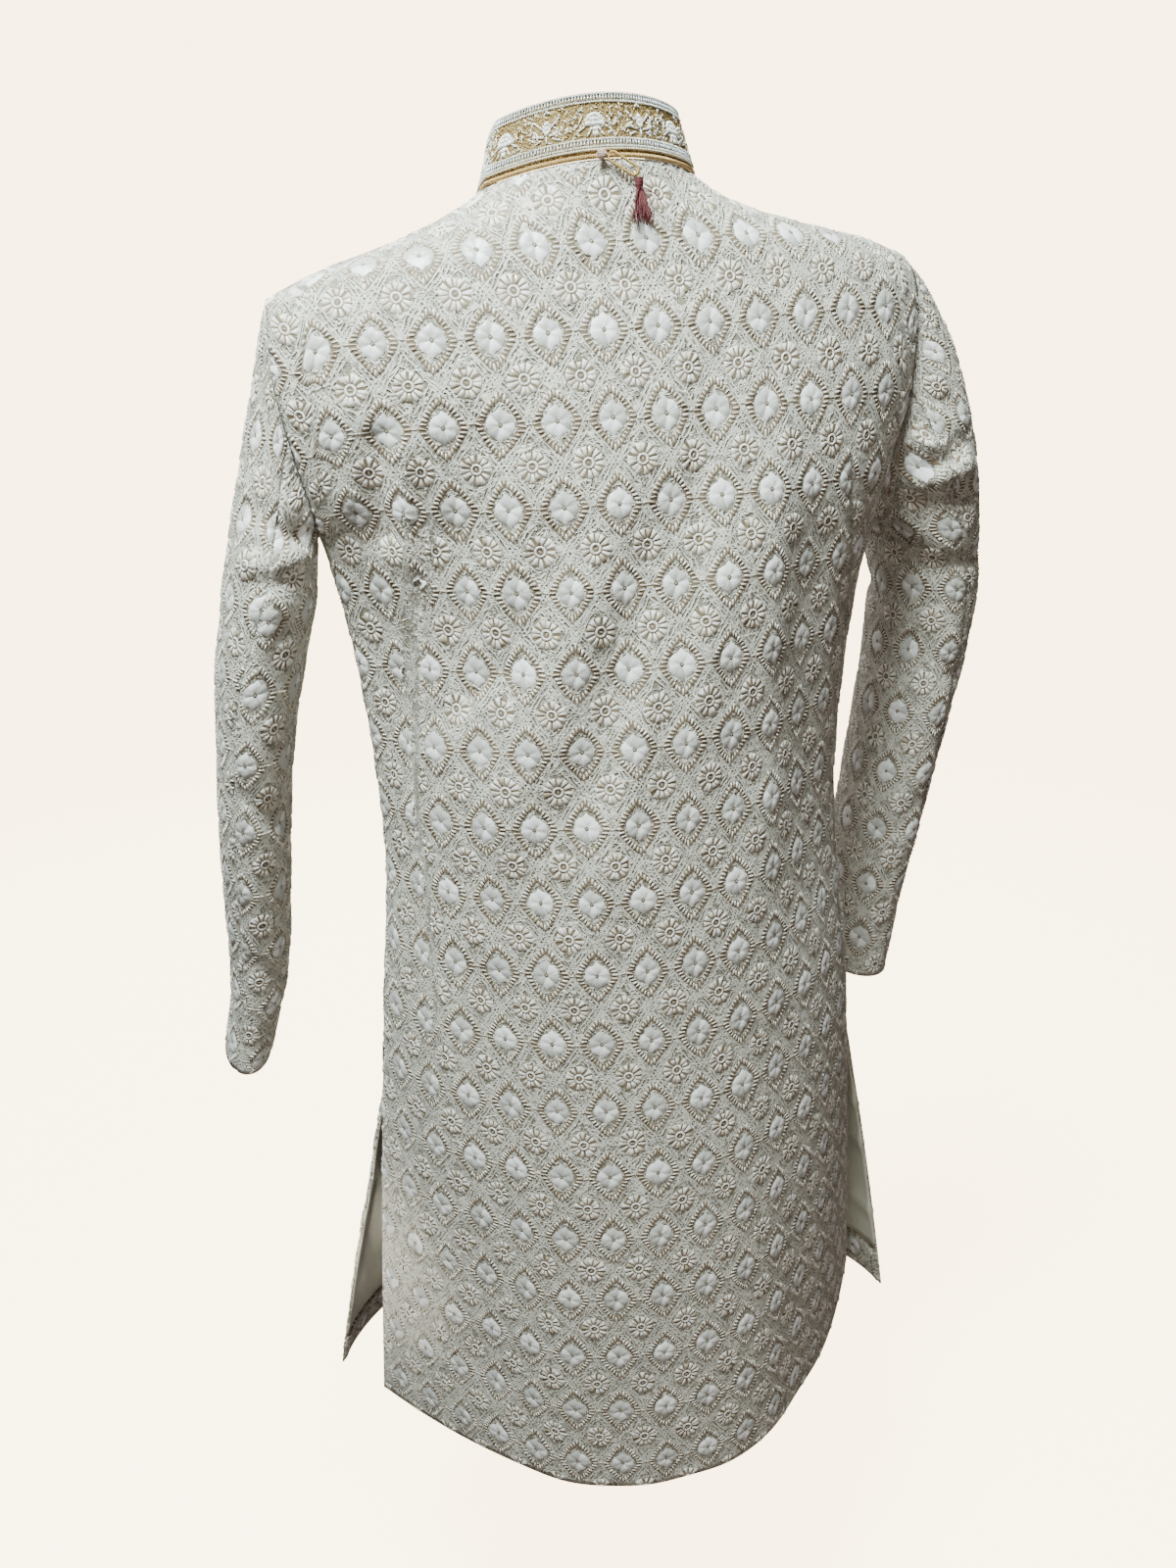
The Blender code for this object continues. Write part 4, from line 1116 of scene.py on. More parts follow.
def embroidered_cloth(colours, sizes):
    """Art silk ground couched all over with thin cord: a mottled, faintly ribbed field."""
    mat = surface("art_silk_couched", Roughness=0.62, Sheen_Weight=0.25, Sheen_Roughness=0.45)
    flat = cloth_millimetres(mat)
    steps = [1000 * pitch for pitch in pitches()]
    across, along = (
        node(mat, "ShaderNodeMath", {0: node(mat, "ShaderNodeSeparateXYZ", {0: flat}, output=k), 1: pitch},
             operation="DIVIDE") for k, pitch in enumerate(steps))
    # warp slubs are drawn at 0.8 mm because the real 0.3 mm threads would not show
    sway, patches, wash, slubs = (
        node(mat, "ShaderNodeTexNoise", {"Vector": flat, "Scale": scale, "Detail": detail})
        for scale, detail in ((0.10, 1.0), (0.09, 1.0), (0.035, 2.0), (1.2, 2.0)))
    lines = []
    # couched cord that wanders over the ground, about 5 mm from turn to turn
    for scale, width in ((0.105, 0.085), (0.17, 0.090)):
        line = node(mat, "ShaderNodeTexNoise", {"Vector": flat, "Scale": scale, "Detail": 1.0,
                                                "Roughness": 0.4, "Distortion": 1.1})
        for operation in ("SUBTRACT", "ABSOLUTE"):
            line = node(mat, "ShaderNodeMath", {0: line, 1: 0.5}, operation=operation)
        lines.append(node(mat, "ShaderNodeMapRange", {0: line, 1: 0.1 * width, 2: width, 3: 1.0, 4: 0.0}))
    # paired cords that cross between the motifs
    sway = node(mat, "ShaderNodeMath", {0: sway, 1: 0.14}, operation="MULTIPLY")
    fade = node(mat, "ShaderNodeMapRange", {0: patches, 1: 0.36, 2: 0.52, 3: 0.45, 4: 1.0})
    for crossing in ("ADD", "SUBTRACT"):
        pair = across
        for operation, value in ((crossing, along), ("ADD", sway), ("SUBTRACT", 0.07), ("FRACT", 0.0),
                                 ("SUBTRACT", 0.5), ("ABSOLUTE", 0.0), ("MULTIPLY", 31.6)):
            pair = node(mat, "ShaderNodeMath", {0: pair, 1: value}, operation=operation)
        for out in (1.4, 4.2):
            line = pair
            for operation in ("SUBTRACT", "ABSOLUTE"):
                line = node(mat, "ShaderNodeMath", {0: line, 1: out}, operation=operation)
            line = node(mat, "ShaderNodeMapRange", {0: line, 1: 0.3, 2: 1.1, 3: 1.0, 4: 0.0})
            lines.append(node(mat, "ShaderNodeMath", {0: line, 1: fade}, operation="MULTIPLY"))
    # thin cord round each diamond
    parts = []
    for part, pitch, corner in zip((across, along), steps, CORD_DIAMOND):
        for operation, value in (("ADD", 0.5), ("FRACT", 0.0), ("SUBTRACT", 0.5), ("ABSOLUTE", 0.0),
                                 ("MULTIPLY", pitch / corner), ("POWER", CORD_DIAMOND[2])):
            part = node(mat, "ShaderNodeMath", {0: part, 1: value}, operation=operation)
        parts.append(part)
    line = parts[0]
    for operation, value in (("ADD", parts[1]), ("POWER", 1 / CORD_DIAMOND[2]), ("SUBTRACT", 1.0),
                             ("ABSOLUTE", 0.0), ("MULTIPLY", 0.9 * CORD_DIAMOND[1])):
        line = node(mat, "ShaderNodeMath", {0: line, 1: value}, operation=operation)
    cord = node(mat, "ShaderNodeMapRange", {0: line, 1: 0.3, 2: 0.8, 3: 1.0, 4: 0.0})
    for line in lines:
        cord = node(mat, "ShaderNodeMath", {0: cord, 1: line}, operation="MAXIMUM")
    wash = node(mat, "ShaderNodeMapRange", {0: wash, 1: 0.3, 2: 0.7, 3: 0.90, 4: 1.08})
    grain = node(mat, "ShaderNodeMapRange", {0: slubs, 1: 0.25, 2: 0.75, 3: 0.88, 4: 1.08})
    tone = node(mat, "ShaderNodeMath", {0: wash, 1: grain}, operation="MULTIPLY")
    grain = node(mat, "ShaderNodeMath", {0: slubs, 1: 0.22}, operation="MULTIPLY")
    height = node(mat, "ShaderNodeMath", {0: cord, 1: grain}, operation="ADD")
    return finish(mat, cord, colours.ground, colours.couching, height, tone,
                  Distance=sizes.couching_height, Strength=0.9)


def cloth_reverse(colours):
    """Back of the embroidery: dull cloth with broken lines of carried thread."""
    mat = surface("embroidery_reverse", Roughness=0.85)
    carried = node(mat, "ShaderNodeTexNoise", {"Vector": cloth_millimetres(mat), "Scale": 0.30, "Detail": 3.0,
                                               "Distortion": 1.4})
    marks = node(mat, "ShaderNodeMapRange", {0: carried, 1: 0.45, 2: 0.60, 3: 0.0, 4: 1.0})
    return finish(mat, marks, colours.reverse, colours.cream, carried, Distance=0.0006)


def thread(name, colour, roughness, spread, strand, metallic=0.0):
    """Floss thread: a soft sheen, with strands and small changes of tone."""
    mat = surface(name, Roughness=roughness, Metallic=metallic, Sheen_Weight=0.2, Sheen_Roughness=0.35)
    place = node(mat, "ShaderNodeTexCoord", output=3)
    patches, strands = (node(mat, "ShaderNodeTexNoise", {"Vector": place, "Scale": scale, "Detail": detail})
                        for scale, detail in ((260.0, 2.0), (strand, 1.0)))
    dark = [c * (1 - spread) for c in colour]
    light = [min(c * (1 + 0.6 * spread), 1.0) for c in colour]
    return finish(mat, patches, dark, light, strands, Distance=0.00025, Strength=0.6)


def twisted(name, colour, shadow, roughness, pitch, slope, metallic=0.0):
    """Cord or wrapped piping: slanting ribs along the UV map, with painted shade between the ribs."""
    mat = surface(name, Roughness=roughness, Metallic=metallic)
    place = node(mat, "ShaderNodeUVMap", uv_map="cord")
    run, lean = (
        node(mat, "ShaderNodeMath", {0: node(mat, "ShaderNodeSeparateXYZ", {0: place}, output=k),
                                     1: 2 * math.pi * turns}, operation="MULTIPLY")
        for k, turns in enumerate((1 / pitch, slope)))
    wave = node(mat, "ShaderNodeMath", {0: run, 1: lean}, operation="ADD")
    wave = node(mat, "ShaderNodeMath", {0: wave}, operation="SINE")
    # painted shade: the colour falls to the shadow tone in the troughs between the ribs
    rib = node(mat, "ShaderNodeMapRange", {0: wave, 1: -1.0, 2: 0.6, 3: 0.0, 4: 1.0})
    return finish(mat, rib, shadow, colour, wave, Distance=0.00035, Strength=0.8)


def satin_lining(colours):
    """Viscose satin: smooth and soft-shining, with a fine warp line and faint rumples."""
    mat = surface("viscose_satin", Roughness=0.34, Sheen_Weight=0.2)
    flat = cloth_millimetres(mat)
    warp, rumple = (
        node(mat, "ShaderNodeTexNoise", {
            "Vector": node(mat, "ShaderNodeMapping", {"Vector": flat, "Scale": stretch}),
            "Scale": scale, "Detail": detail})
        for stretch, scale, detail in (((1.4, 0.12, 1.0), 1.0, 2.0), ((1.0, 0.45, 1.0), 0.028, 1.5)))
    low = node(mat, "ShaderNodeBump", {"Height": rumple, "Distance": 0.010, "Strength": 0.55})
    return finish(mat, warp, colours.lining_shade, colours.lining, warp,
                  Distance=0.0002, Strength=0.5, Normal=low)


def collar_ground(colours):
    """Ground under the beads, filled with coiled gilt thread: grainy, glinting old gold, with painted shade
    darkening each coil towards its edge.
    """
    mat = surface("gilt_thread_ground", Roughness=0.48, Metallic=0.35)
    grains = node(mat, "ShaderNodeTexVoronoi", {"Vector": cloth_millimetres(mat), "Scale": 0.85})
    # painted shade: the colour falls from each coil's middle to its edge, darkest between the coils
    dome = node(mat, "ShaderNodeMapRange", {0: grains, 1: 0.1, 2: 0.7, 3: 1.0, 4: 0.0})
    return finish(mat, dome, colours.collar_shade, colours.collar, dome, Distance=0.0007, Strength=1.0)


def bead(name, colour, roughness, metallic, ior=1.5):
    """Small glass or metal bead, bright where the light meets it."""
    mat = surface(name, Roughness=roughness, Metallic=metallic, IOR=ior)
    place = node(mat, "ShaderNodeTexCoord", output=3)
    lots = node(mat, "ShaderNodeTexNoise", {"Vector": place, "Scale": 420.0, "Detail": 0.0})
    lots = node(mat, "ShaderNodeMapRange", {0: lots, 1: 0.35, 2: 0.6})
    return finish(mat, lots, [0.72 * c for c in colour], colour)


def cast_brass(colours):
    """Lacquered brass: warm metal, with brushed grain and duller hollows."""
    mat = surface("lacquered_brass", Roughness=0.34, Metallic=1.0)
    place = node(mat, "ShaderNodeTexCoord", output=3)
    grain = node(mat, "ShaderNodeTexNoise", {"Vector": place, "Scale": 900.0, "Detail": 2.0})
    return finish(mat, grain, colours.brass_shade, colours.brass, grain, Distance=0.0001, Strength=0.5)


def studio_paper(strength):
    """Seamless background paper, lit evenly: plain warm white."""
    mat = surface("background_paper", Roughness=0.9, Emission_Color=(1.0, 0.79, 0.50, 1.0),
                  Emission_Strength=strength)
    place = node(mat, "ShaderNodeTexCoord", output=3)
    fibres = node(mat, "ShaderNodeTexNoise", {"Vector": place, "Scale": 3.0, "Detail": 2.0})
    return finish(mat, fibres, linear("EFEBE4"), linear("F3F0EA"))


def make_materials(colours, sizes):
    """All finishes of the coat and its backdrop."""
    return {
        "cloth": embroidered_cloth(colours, sizes),
        "reverse": cloth_reverse(colours),
        # padded satin stitch in untwisted floss: the brightest, smoothest thread
        "satin": thread("white_floss", colours.satin, 0.28, 0.06, 1500.0),
        # floss stitched side by side with small gaps: softer and a little duller
        "cream": thread("cream_floss", colours.cream, 0.50, 0.22, 1700.0),
        "pale": thread("pale_floss", colours.pale, 0.46, 0.16, 1700.0),
        # dark taupe sheet under the ladder and wedge stitches: painted shade in the gaps between the raised
        # stitches; also the dark flower eyes; flat and dull
        "taupe": thread("taupe_eyes_and_painted_gap_shade", colours.taupe, 0.75, 0.25, 1300.0),
        # the white floss copied a tone down: painted shade on half the petals, chosen at random, and the grey
        # flower eyes
        "silver": thread("grey_eyes_and_painted_petal_shade", colours.silver, 0.30, 0.12, 1500.0),
        # flat gilt strip laid among the stitches: small warm glints
        "zari": thread("gilt_strip", colours.zari, 0.38, 0.25, 1700.0, 0.35),
        "lining": satin_lining(colours),
        "collar": collar_ground(colours),
        # glass tubes silvered inside: cool, hard glints
        "bugle": bead("silver_lined_glass", colours.bugle, 0.26, 0.40),
        # opaque pressed glass: white, with one small bright spot each
        "milk": bead("milk_glass", colours.milk, 0.24, 0.0, 1.52),
        # plated metal beads: warm glints
        "gilt": bead("gilt_beads", colours.gilt, 0.30, 0.85),
        # soft cord wrapped close in gilt thread: warm, ribbed and half metallic
        "piping": twisted("gilt_wrapped_piping", colours.piping, colours.piping_shade, 0.42, 0.0011, 0.6,
                          0.25),
        # stranded cotton: matt, with open twists
        "edging": twisted("cotton_edging_cord", colours.edging, colours.edging_shade, 0.65, 0.0013, 1.0),
        # silk strands twisted tight: a soft shine on each turn
        "cord": twisted("twisted_silk_cord", colours.cord, colours.cord_shade, 0.45, 0.0012, 1.0),
        # silk wound round and round: fine matt ribs
        "knot": twisted("wrapped_silk_knot", colours.knot, colours.knot_shade, 0.55, 0.0010, 1.0),
        # cut rayon threads, dyed deep: a thin line of light on each
        "tassel": thread("dark_red_rayon", colours.tassel, 0.55, 0.30, 1500.0),
        "button": cast_brass(colours),
        "paper": studio_paper(7.3),
    }


# Finishes made so far.  The stage empties it, so that changed colours take hold when the coat is built again.
MATERIALS = {}


def finish_named(name):
    """One finish; all of them are made at the first call."""
    if not MATERIALS:
        MATERIALS.update(make_materials(bpy.context.scene.coat_colours, bpy.context.scene.coat_sizes))
    return MATERIALS[name]


# ---------------------------------------------------------------- cords and beads

def tube_object(name, route, radius, sides, finish):
    """Round cord along a route, with a UV map that runs along (metres) and round it (0 to 1)."""
    along = unit(np.gradient(route, axis=0))
    side = np.cross(along[0], (0.13, 0.29, 0.94))
    turns = np.arange(sides + 1) * 2 * math.pi / sides
    rounds = []
    for place, ahead in zip(route, along):
        side = unit(side - ahead * np.dot(side, ahead))
        rounds.append(place + ring(turns, radius, 0.0) @ (side, np.cross(ahead, side), ahead))
    run = lengths_along(route, 0)
    bm = bmesh.new()
    bmesh.ops.create_grid(bm, x_segments=sides, y_segments=len(route) - 1, size=1.0)
    layer = bm.loops.layers.uv.new("cord")
    spots = {vert: [round((part + 1) / 2 * size) for part, size in zip(vert.co, (sides, len(route) - 1))]
             for vert in bm.verts}
    for face in bm.faces:
        for corner in face.loops:
            c, r = spots[corner.vert]
            corner[layer].uv = (run[r], c / sides)
    for vert, (c, r) in spots.items():
        vert.co = rounds[r][c]
    bmesh.ops.remove_doubles(bm, verts=bm.verts[:], dist=0.00002)
    bmesh.ops.holes_fill(bm, edges=[e for e in bm.edges if e.is_boundary], sides=0)
    bmesh.ops.recalc_face_normals(bm, faces=bm.faces[:])
    return mesh_object(name, bm, finish)


def bead_shapes():
    """A round bead and a bugle, one unit long and one unit across."""
    bm = bmesh.new()
    bmesh.ops.create_icosphere(bm, subdivisions=1, radius=0.5)
    round_bead = shape_arrays(bm)
    bm = bmesh.new()
    bmesh.ops.create_cone(bm, cap_ends=True, segments=6, radius1=0.5, radius2=0.5, depth=1.0)
    bmesh.ops.transform(bm, matrix=Matrix.Rotation(math.pi / 2, 4, "Y"), verts=bm.verts[:])
    return round_bead, shape_arrays(bm)


class Beadwork:
    """Beads laid on a cloth grid by cloth coordinates in millimetres."""

    def __init__(self, cloth):
        self.cloth = cloth
        self.points, self.faces, self.slots = [], [], []
        self.count = 0
        self.round_bead, self.bugle = bead_shapes()

    def lay(self, shape, x, y, angle, length, width, slot):
        points, faces = shape
        a, b = turned(points[:, 0] * length, points[:, 1] * width, angle)
        self.points.append(np.stack((x + a, y + b, (points[:, 2] + BEAD_LIFT) * width), axis=1))
        self.faces.append(faces + self.count)
        self.slots.append(np.full(len(faces), slot))
        self.count += len(points)

    def strand(self, x0, y0, x1, y1, width, slot, rng):
        """Bugles end to end along a line."""
        long = math.hypot(x1 - x0, y1 - y0)
        parts = max(1, round(long / BUGLE_LENGTH))
        lean = math.atan2(y1 - y0, x1 - x0)
        for part in range(parts):
            t = (part + 0.5) / parts
            self.lay(self.bugle, x0 + t * (x1 - x0), y0 + t * (y1 - y0), lean + rng.normal(0, 0.04),
                     0.96 * long / parts, width, slot)

    def finish(self, name, finishes):
        points = 0.001 * np.concatenate(self.points)
        r, c = (np.clip((points[:, k] - grid.min()) / np.ptp(grid) * (size - 1), 0, size - 1)
                for k, grid, size in zip((1, 0), (self.cloth.v, self.cloth.u), self.cloth.u.shape))
        if self.cloth.u[0, 0] > self.cloth.u[0, -1]:
            c = self.cloth.u.shape[1] - 1 - c
        places = self.cloth.place(r, c, points[:, 2])
        faces = np.concatenate(self.faces)
        a, b, c = (places[self.faces[0][:20, k]] for k in range(3))
        outward = (a + b + c) / 3 - np.mean((a, b, c), axis=(0, 1))
        if np.sum(np.cross(b - a, c - a) * outward) < 0:
            faces = faces[:, ::-1]
        return arrays_object(name, places, faces, np.concatenate(self.slots), finishes)


# ---------------------------------------------------------------- neck seam, collar, cords

def neck_curve(count=361):
    """Even points of the neck seam, from the left collar end round the back to the right end."""
    left_end = math.asin((0.0012 + 0.5 * COLLAR_OPENING) / NECK_HALF_WIDTH) / math.pi
    right_end = math.asin(0.5 * COLLAR_OPENING / NECK_HALF_WIDTH) / math.pi
    parts = (("front", np.linspace(left_end, NECK_SHARE, 80)),
             ("back", np.linspace(NECK_SHARE, -NECK_SHARE, 200)[1:-1]),
             ("front", np.linspace(-NECK_SHARE, -right_end, 80)))
    points = np.concatenate([section_points(side, *upper_places(side, a, 0.0 * a)) for side, a in parts])
    for _ in range(12):
        points[1:-1] = 0.25 * points[:-2] + 0.5 * points[1:-1] + 0.25 * points[2:]
    run = lengths_along(points, 0)
    at = np.linspace(0.0, run[-1], count)
    return np.stack([np.interp(at, run, points[:, k]) for k in range(3)], axis=1)


def neck_frame(curve):
    """Level outward direction and upward direction, both square to the neck curve."""
    along = np.gradient(curve, axis=0)
    out = unit(np.cross(along, (0.0, 0.0, 1.0)))
    up = unit(np.cross(out, along))
    middle = len(curve) // 2
    return out * np.sign(out[middle, 1]), up * np.sign(up[middle, 2])


def collar_cloth(curve):
    """Stand collar: u runs round it from the centre back, v up from its foot."""
    out, up = neck_frame(curve)
    rows = []
    for part in np.linspace(0.0, 1.0, 13):
        row = curve + up * (2 * PIPING_RADIUS + 2.2 * GAP) - out * COLLAR_LEAN * part
        row[:, 2] += COLLAR_HEIGHT * part
        rows.append(row)
    points = np.array(rows)
    run = lengths_along(curve, 0)
    middle = run[np.argmax(curve[:, 1])]
    u = np.repeat((middle - run)[None], len(rows), axis=0)
    height = math.hypot(COLLAR_HEIGHT, COLLAR_LEAN)
    v = np.repeat(np.linspace(0.0, height, len(rows))[:, None], len(curve), axis=1)
    return Cloth(points, u, v, np.repeat(out[None], len(rows), axis=0))


def collar_beads(cloth, size):
    """Borders of bugles and bead lines, sprigs on a gilt ground, and fans and leaves in milk beads.

    Slots: 0 bugles, 1 milk beads, 2 gilt beads.
    """
    rng = np.random.default_rng(41)
    work = Beadwork(cloth)
    low, high = cloth.u.min() * 1000 + 1.0, cloth.u.max() * 1000 - 1.0
    size, tall = size * 1000, cloth.v.max() * 1000

    for bugles, y in ((False, tall - 0.8), (True, tall - 3.2), (False, tall - 5.6), (False, 8.6), (True, 6.2),
                      (False, 3.9)):
        for x in np.arange(low, high, size * (1.50 if bugles else 1.06)):
            if bugles:
                work.lay(work.bugle, x, y, math.pi / 2 + rng.normal(0, 0.08), 3.6, size * 0.80, 0)
            else:
                work.lay(work.round_bead, x, y + rng.normal(0, 0.06), 0.0, size, size, 1)

    bottom, top = FIELD_FOOT, tall - FIELD_TOP
    centres, widths = [], []
    for number in range(math.ceil(low / FAN_STEP) - 1, math.ceil(high / FAN_STEP)):
        x = number * FAN_STEP + 9.0
        if not low + 9 <= x < high - 9:
            continue
        if number % 2:
            # upright leaf with four branches, twigs and a small flower at the tip
            strands = [(1.15 * k, 10.6 - rise / 2, 1.15 * k, 10.6 + rise / 2, 1.1)
                       for k, rise in zip(range(-2, 3), (5.0, 8.0, 9.6, 8.0, 5.0))]
            strands.append((0.0, 1.0, 0.0, 5.4, 1.2))
            for across, down in ((-1.3, 1.6), (1.3, 1.6), (0.0, 0.6)):
                work.lay(work.round_bead, x + across, top - down, 0.0, 1.9, 1.7, 1)
        else:
            # domed fan of upright strands on a flared stem, with a sprig on each side
            strands = [(1.25 * k, 7.6, 1.25 * k, 7.6 + 8.4 * math.sqrt(1 - (k / 6.0) ** 2), 1.15)
                       for k in range(-5, 6)]
            strands += [(1.3 * k, 1.0, 1.1 * k, 7.0, 1.1) for k in (-1, 0, 1)]
        strands = [(*strand, 1) for strand in strands]
        strands += [(side * x0, y0, side * x1, y1, width, slot) for side in (-1, 1)
                    for x0, y0, x1, y1, width, slot in (LEAF_SIDE if number % 2 else FAN_SIDE)]
        for x0, y0, x1, y1, width, slot in strands:
            work.strand(x + x0, bottom + y0, x + x1, bottom + y1, width, slot, rng)
        centres.append(x)
        widths.append(6.5 if number % 2 else 8.0)
    centres, widths = np.array(centres), np.array(widths)
    # scattered bugles, fewer between the strands of the motifs, and small gilt beads
    x = low
    while x < high:
        clear = not np.any(np.abs(centres - x) < widths)
        if clear or rng.random() < 0.25:
            for _ in range(2 if clear else 1):
                y = rng.uniform(bottom + 0.4, top - 0.4)
                lean = rng.choice((0.7, 2.4, 1.57)) + rng.normal(0, 0.2)
                slot = rng.choice((1, 0, 2), p=(0.62, 0.16, 0.22))
                work.lay(work.bugle, x + rng.normal(0, 0.6), y, lean, rng.uniform(1.8, 3.2), size * 0.58,
                         slot)
        x += 0.8
    for _ in range(900):
        x, y = rng.uniform(low, high), rng.uniform(bottom, top)
        if not np.any((np.abs(centres - x) < widths * 0.8) & (abs(y - 0.5 * (bottom + top)) < 9)):
            work.lay(work.round_bead, x, y, 0.0, size * 0.7, size * 0.62, 2)
    return work.finish("collar_beads", ("bugle", "milk", "gilt"))


def loop_route(knot, head_top, half_width=0.0030, count=40):
    """Route of the hanging loop: a slender oval, from the knot down to the tassel and back."""
    start = knot - (KNOT_RADIUS * 1.15 + CORD_RADIUS + GAP, 0.0, 0.0)
    end = head_top + (0.0006, 0.0, 2.5 * CORD_RADIUS + GAP)
    long = np.linalg.norm(end - start)
    ahead = (end - start) / long
    side = unit(np.array((ahead[2], 0.0, -ahead[0])))
    bend = 0.5 * math.pi * half_width
    straight = long - 2 * half_width
    route = []
    for i in range(count):
        run = 2 * (straight + 2 * bend) * (i + 0.5) / count
        back = run > straight + 2 * bend
        run = 2 * (straight + 2 * bend) - run if back else run
        if run < bend:
            turn = run / half_width
            along, out = half_width * (1 - math.cos(turn)), half_width * math.sin(turn)
        elif run < bend + straight:
            along, out = half_width + run - bend, half_width
        else:
            turn = (run - bend - straight) / half_width
            along, out = half_width + straight + half_width * math.sin(turn), half_width * math.cos(turn)
        place = start + ahead * along + side * (-out if back else out)
        place[1] = max(place[1], on_back(place[0], place[2])[1] + CORD_RADIUS + LOOP_OFF_CLOTH)
        route.append(place)
    return np.array(route)


def tassel_paths(top):
    """Routes of the tassel's threads, and of some that have worked loose and curl away from it."""
    rng = np.random.default_rng(5)
    drop = np.linspace(0.0, 1.0, 9)
    paths = []
    for _ in range(TASSEL_THREADS):
        angle, spread = rng.uniform(0, 2 * math.pi), math.sqrt(rng.uniform(0.02, 1.0))
        long = TASSEL_SKIRT_LENGTH * rng.uniform(0.62, 1.05)
        flare = (0.6 + 3.0 * drop ** 1.1) * TASSEL_HEAD_RADIUS * spread
        wave = 0.0009 * drop * np.sin(drop * rng.uniform(4, 11) + angle)
        paths.append((flare * math.cos(angle) + TASSEL_LEAN[0] * long * drop + wave,
                      0.45 * flare * math.sin(angle) + TASSEL_LEAN[1] * long * drop, -long * drop))
    drop = np.linspace(0.0, 1.0, 14)
    bow = np.sin(math.pi * drop)
    for across, down, curl in LOOSE_THREADS:
        paths.append((across * drop + curl * bow, 0.0016 + 0.0075 * drop + 0.0012 * bow, down * drop))
    return [top + np.stack(path, axis=1) for path in paths]


def thread_bundle(name, paths, radius, finish):
    """Many fine threads in one mesh, each a thin four-sided strand."""
    points, faces, count = [], [], 0
    for path in paths:
        along = unit(np.gradient(path, axis=0))
        side = unit(np.cross(along, (0.31, 0.17, 0.11)))
        other = np.cross(along, side)
        spokes = np.stack((side, other, -side, -other), axis=1)
        points.append((path[:, None] + radius * spokes).reshape(-1, 3))
        for k in range(len(path) - 1):
            for i in range(4):
                a, b = count + 4 * k + i, count + 4 * k + (i + 1) % 4
                faces += [(a, b, b + 4), (a, b + 4, a + 4)]
        first, last = count, count + 4 * (len(path) - 1)
        faces += [(first, first + 2, first + 1), (first, first + 3, first + 2)]
        faces += [(last, last + 1, last + 2), (last, last + 2, last + 3)]
        count += len(points[-1])
    return arrays_object(name, np.concatenate(points), np.array(faces), np.zeros(len(faces), int), [finish])


# ---------------------------------------------------------------- settings

def colour(name, description, code):
    """A colour of the panel, given as an sRGB hex code."""
    return FloatVectorProperty(name=name, description=description, subtype="COLOR", size=3, min=0.0, max=1.0,
                               default=linear(code))


def size(name, description, default, least):
    """A length of the panel, in metres."""
    return FloatProperty(name=name, description=description, default=default, min=least, unit="LENGTH")


class CoatSizes(bpy.types.PropertyGroup):
    column_pitch: size("Column pitch", "Across from motif to motif", 0.0380, 0.01)
    row_pitch: size("Row pitch", "Down from motif to motif", 0.05692, 0.01)
    couching_height: size("Couching height", "Relief of the cord on the ground", 0.0018, 0.0)
    bead_size: size("Bead size", "Width of the collar's beads", 0.0015, 0.0005)
    tassel_thread: size("Tassel thread", "Radius of one tassel thread", 0.00030, 0.00005)


class CoatColours(bpy.types.PropertyGroup):
    ground: colour("Ground", "Silk ground between the cords", "8F8776")
    couching: colour("Couching", "Thin cord laid over the ground", "E5E2D6")
    reverse: colour("Reverse", "Wrong side of the cloth", "8F887A")
    satin: colour("White floss", "Padded petals", "FCFCFA")
    cream: colour("Cream floss", "Ladder and daisy stitches", "DDD4C6")
    pale: colour("Pale floss", "Lighter stitches", "F4F0E8")
    # painted shade in the gaps between the raised stitches, and the dark flower eyes
    taupe: colour("Taupe backing", "Shows between the stitches", "7C6D59")
    # painted shade on half the petals, and the grey flower eyes
    silver: colour("Grey floss", "Darker petals and flower eyes", "C9C9C5")
    zari: colour("Gilt strip", "Metal strip among the stitches", "CFC5AC")
    lining: colour("Lining", "Satin of the skirt lining", "E2E2D0")
    lining_shade: colour("Lining warp", "Darker warp threads", "C8C9B7")
    collar: colour("Collar ground", "Gilt thread", "B9A06A")
    # painted shade between the gilt coils
    collar_shade: colour("Collar shade", "Between the gilt coils", "6E5731")
    bugle: colour("Bugles", "Silver-lined glass", "CDD3D6")
    milk: colour("Milk beads", "White glass", "F5F3EC")
    gilt: colour("Gilt beads", "Small round beads", "D9BF8A")
    piping: colour("Piping", "Gilt thread round the neck cord", "E2BC7E")
    # painted shade between the piping's ribs
    piping_shade: colour("Piping shade", "Between its ribs", "A87E48")
    edging: colour("Edging", "Plain cord over the piping", "E9DFC9")
    # painted shade between the edging's strands
    edging_shade: colour("Edging shade", "Between its strands", "B5A384")
    cord: colour("Loop cord", "Twisted hanging loop", "DDB76C")
    # painted shade between the loop cord's strands
    cord_shade: colour("Loop shade", "Between its strands", "94703A")
    knot: colour("Knot", "Wrapped knot of the loop", "E2C6B8")
    # painted shade between the knot's wraps
    knot_shade: colour("Knot shade", "Between its wraps", "9C7668")
    tassel: colour("Tassel", "Dark red thread", "5C0A15")
    brass: colour("Buttons", "Lacquered brass", "CDB27A")
    brass_shade: colour("Button shade", "Grain of the brass", "A98B52")


def ride(piece, slot, *nodes):
    """Ties a piece to the coat's one body, with the nodes that it replaces; the slot is not used."""
    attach(piece, "root")
    if nodes:
        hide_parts(*nodes)
    return piece


def sew(node, kind, cloth, thickness, finishes, slot):
    """Shell of one cut piece."""
    piece = ride(cloth_object(f"{node}_{kind}", cloth, thickness, finishes), slot, node)


def stitched(node, cloth, seed, keep=None):
    """Embroidery of one cut piece."""
    return ride(embroider(f"{node}_embroidery", cloth, seed, keep), "cloth")


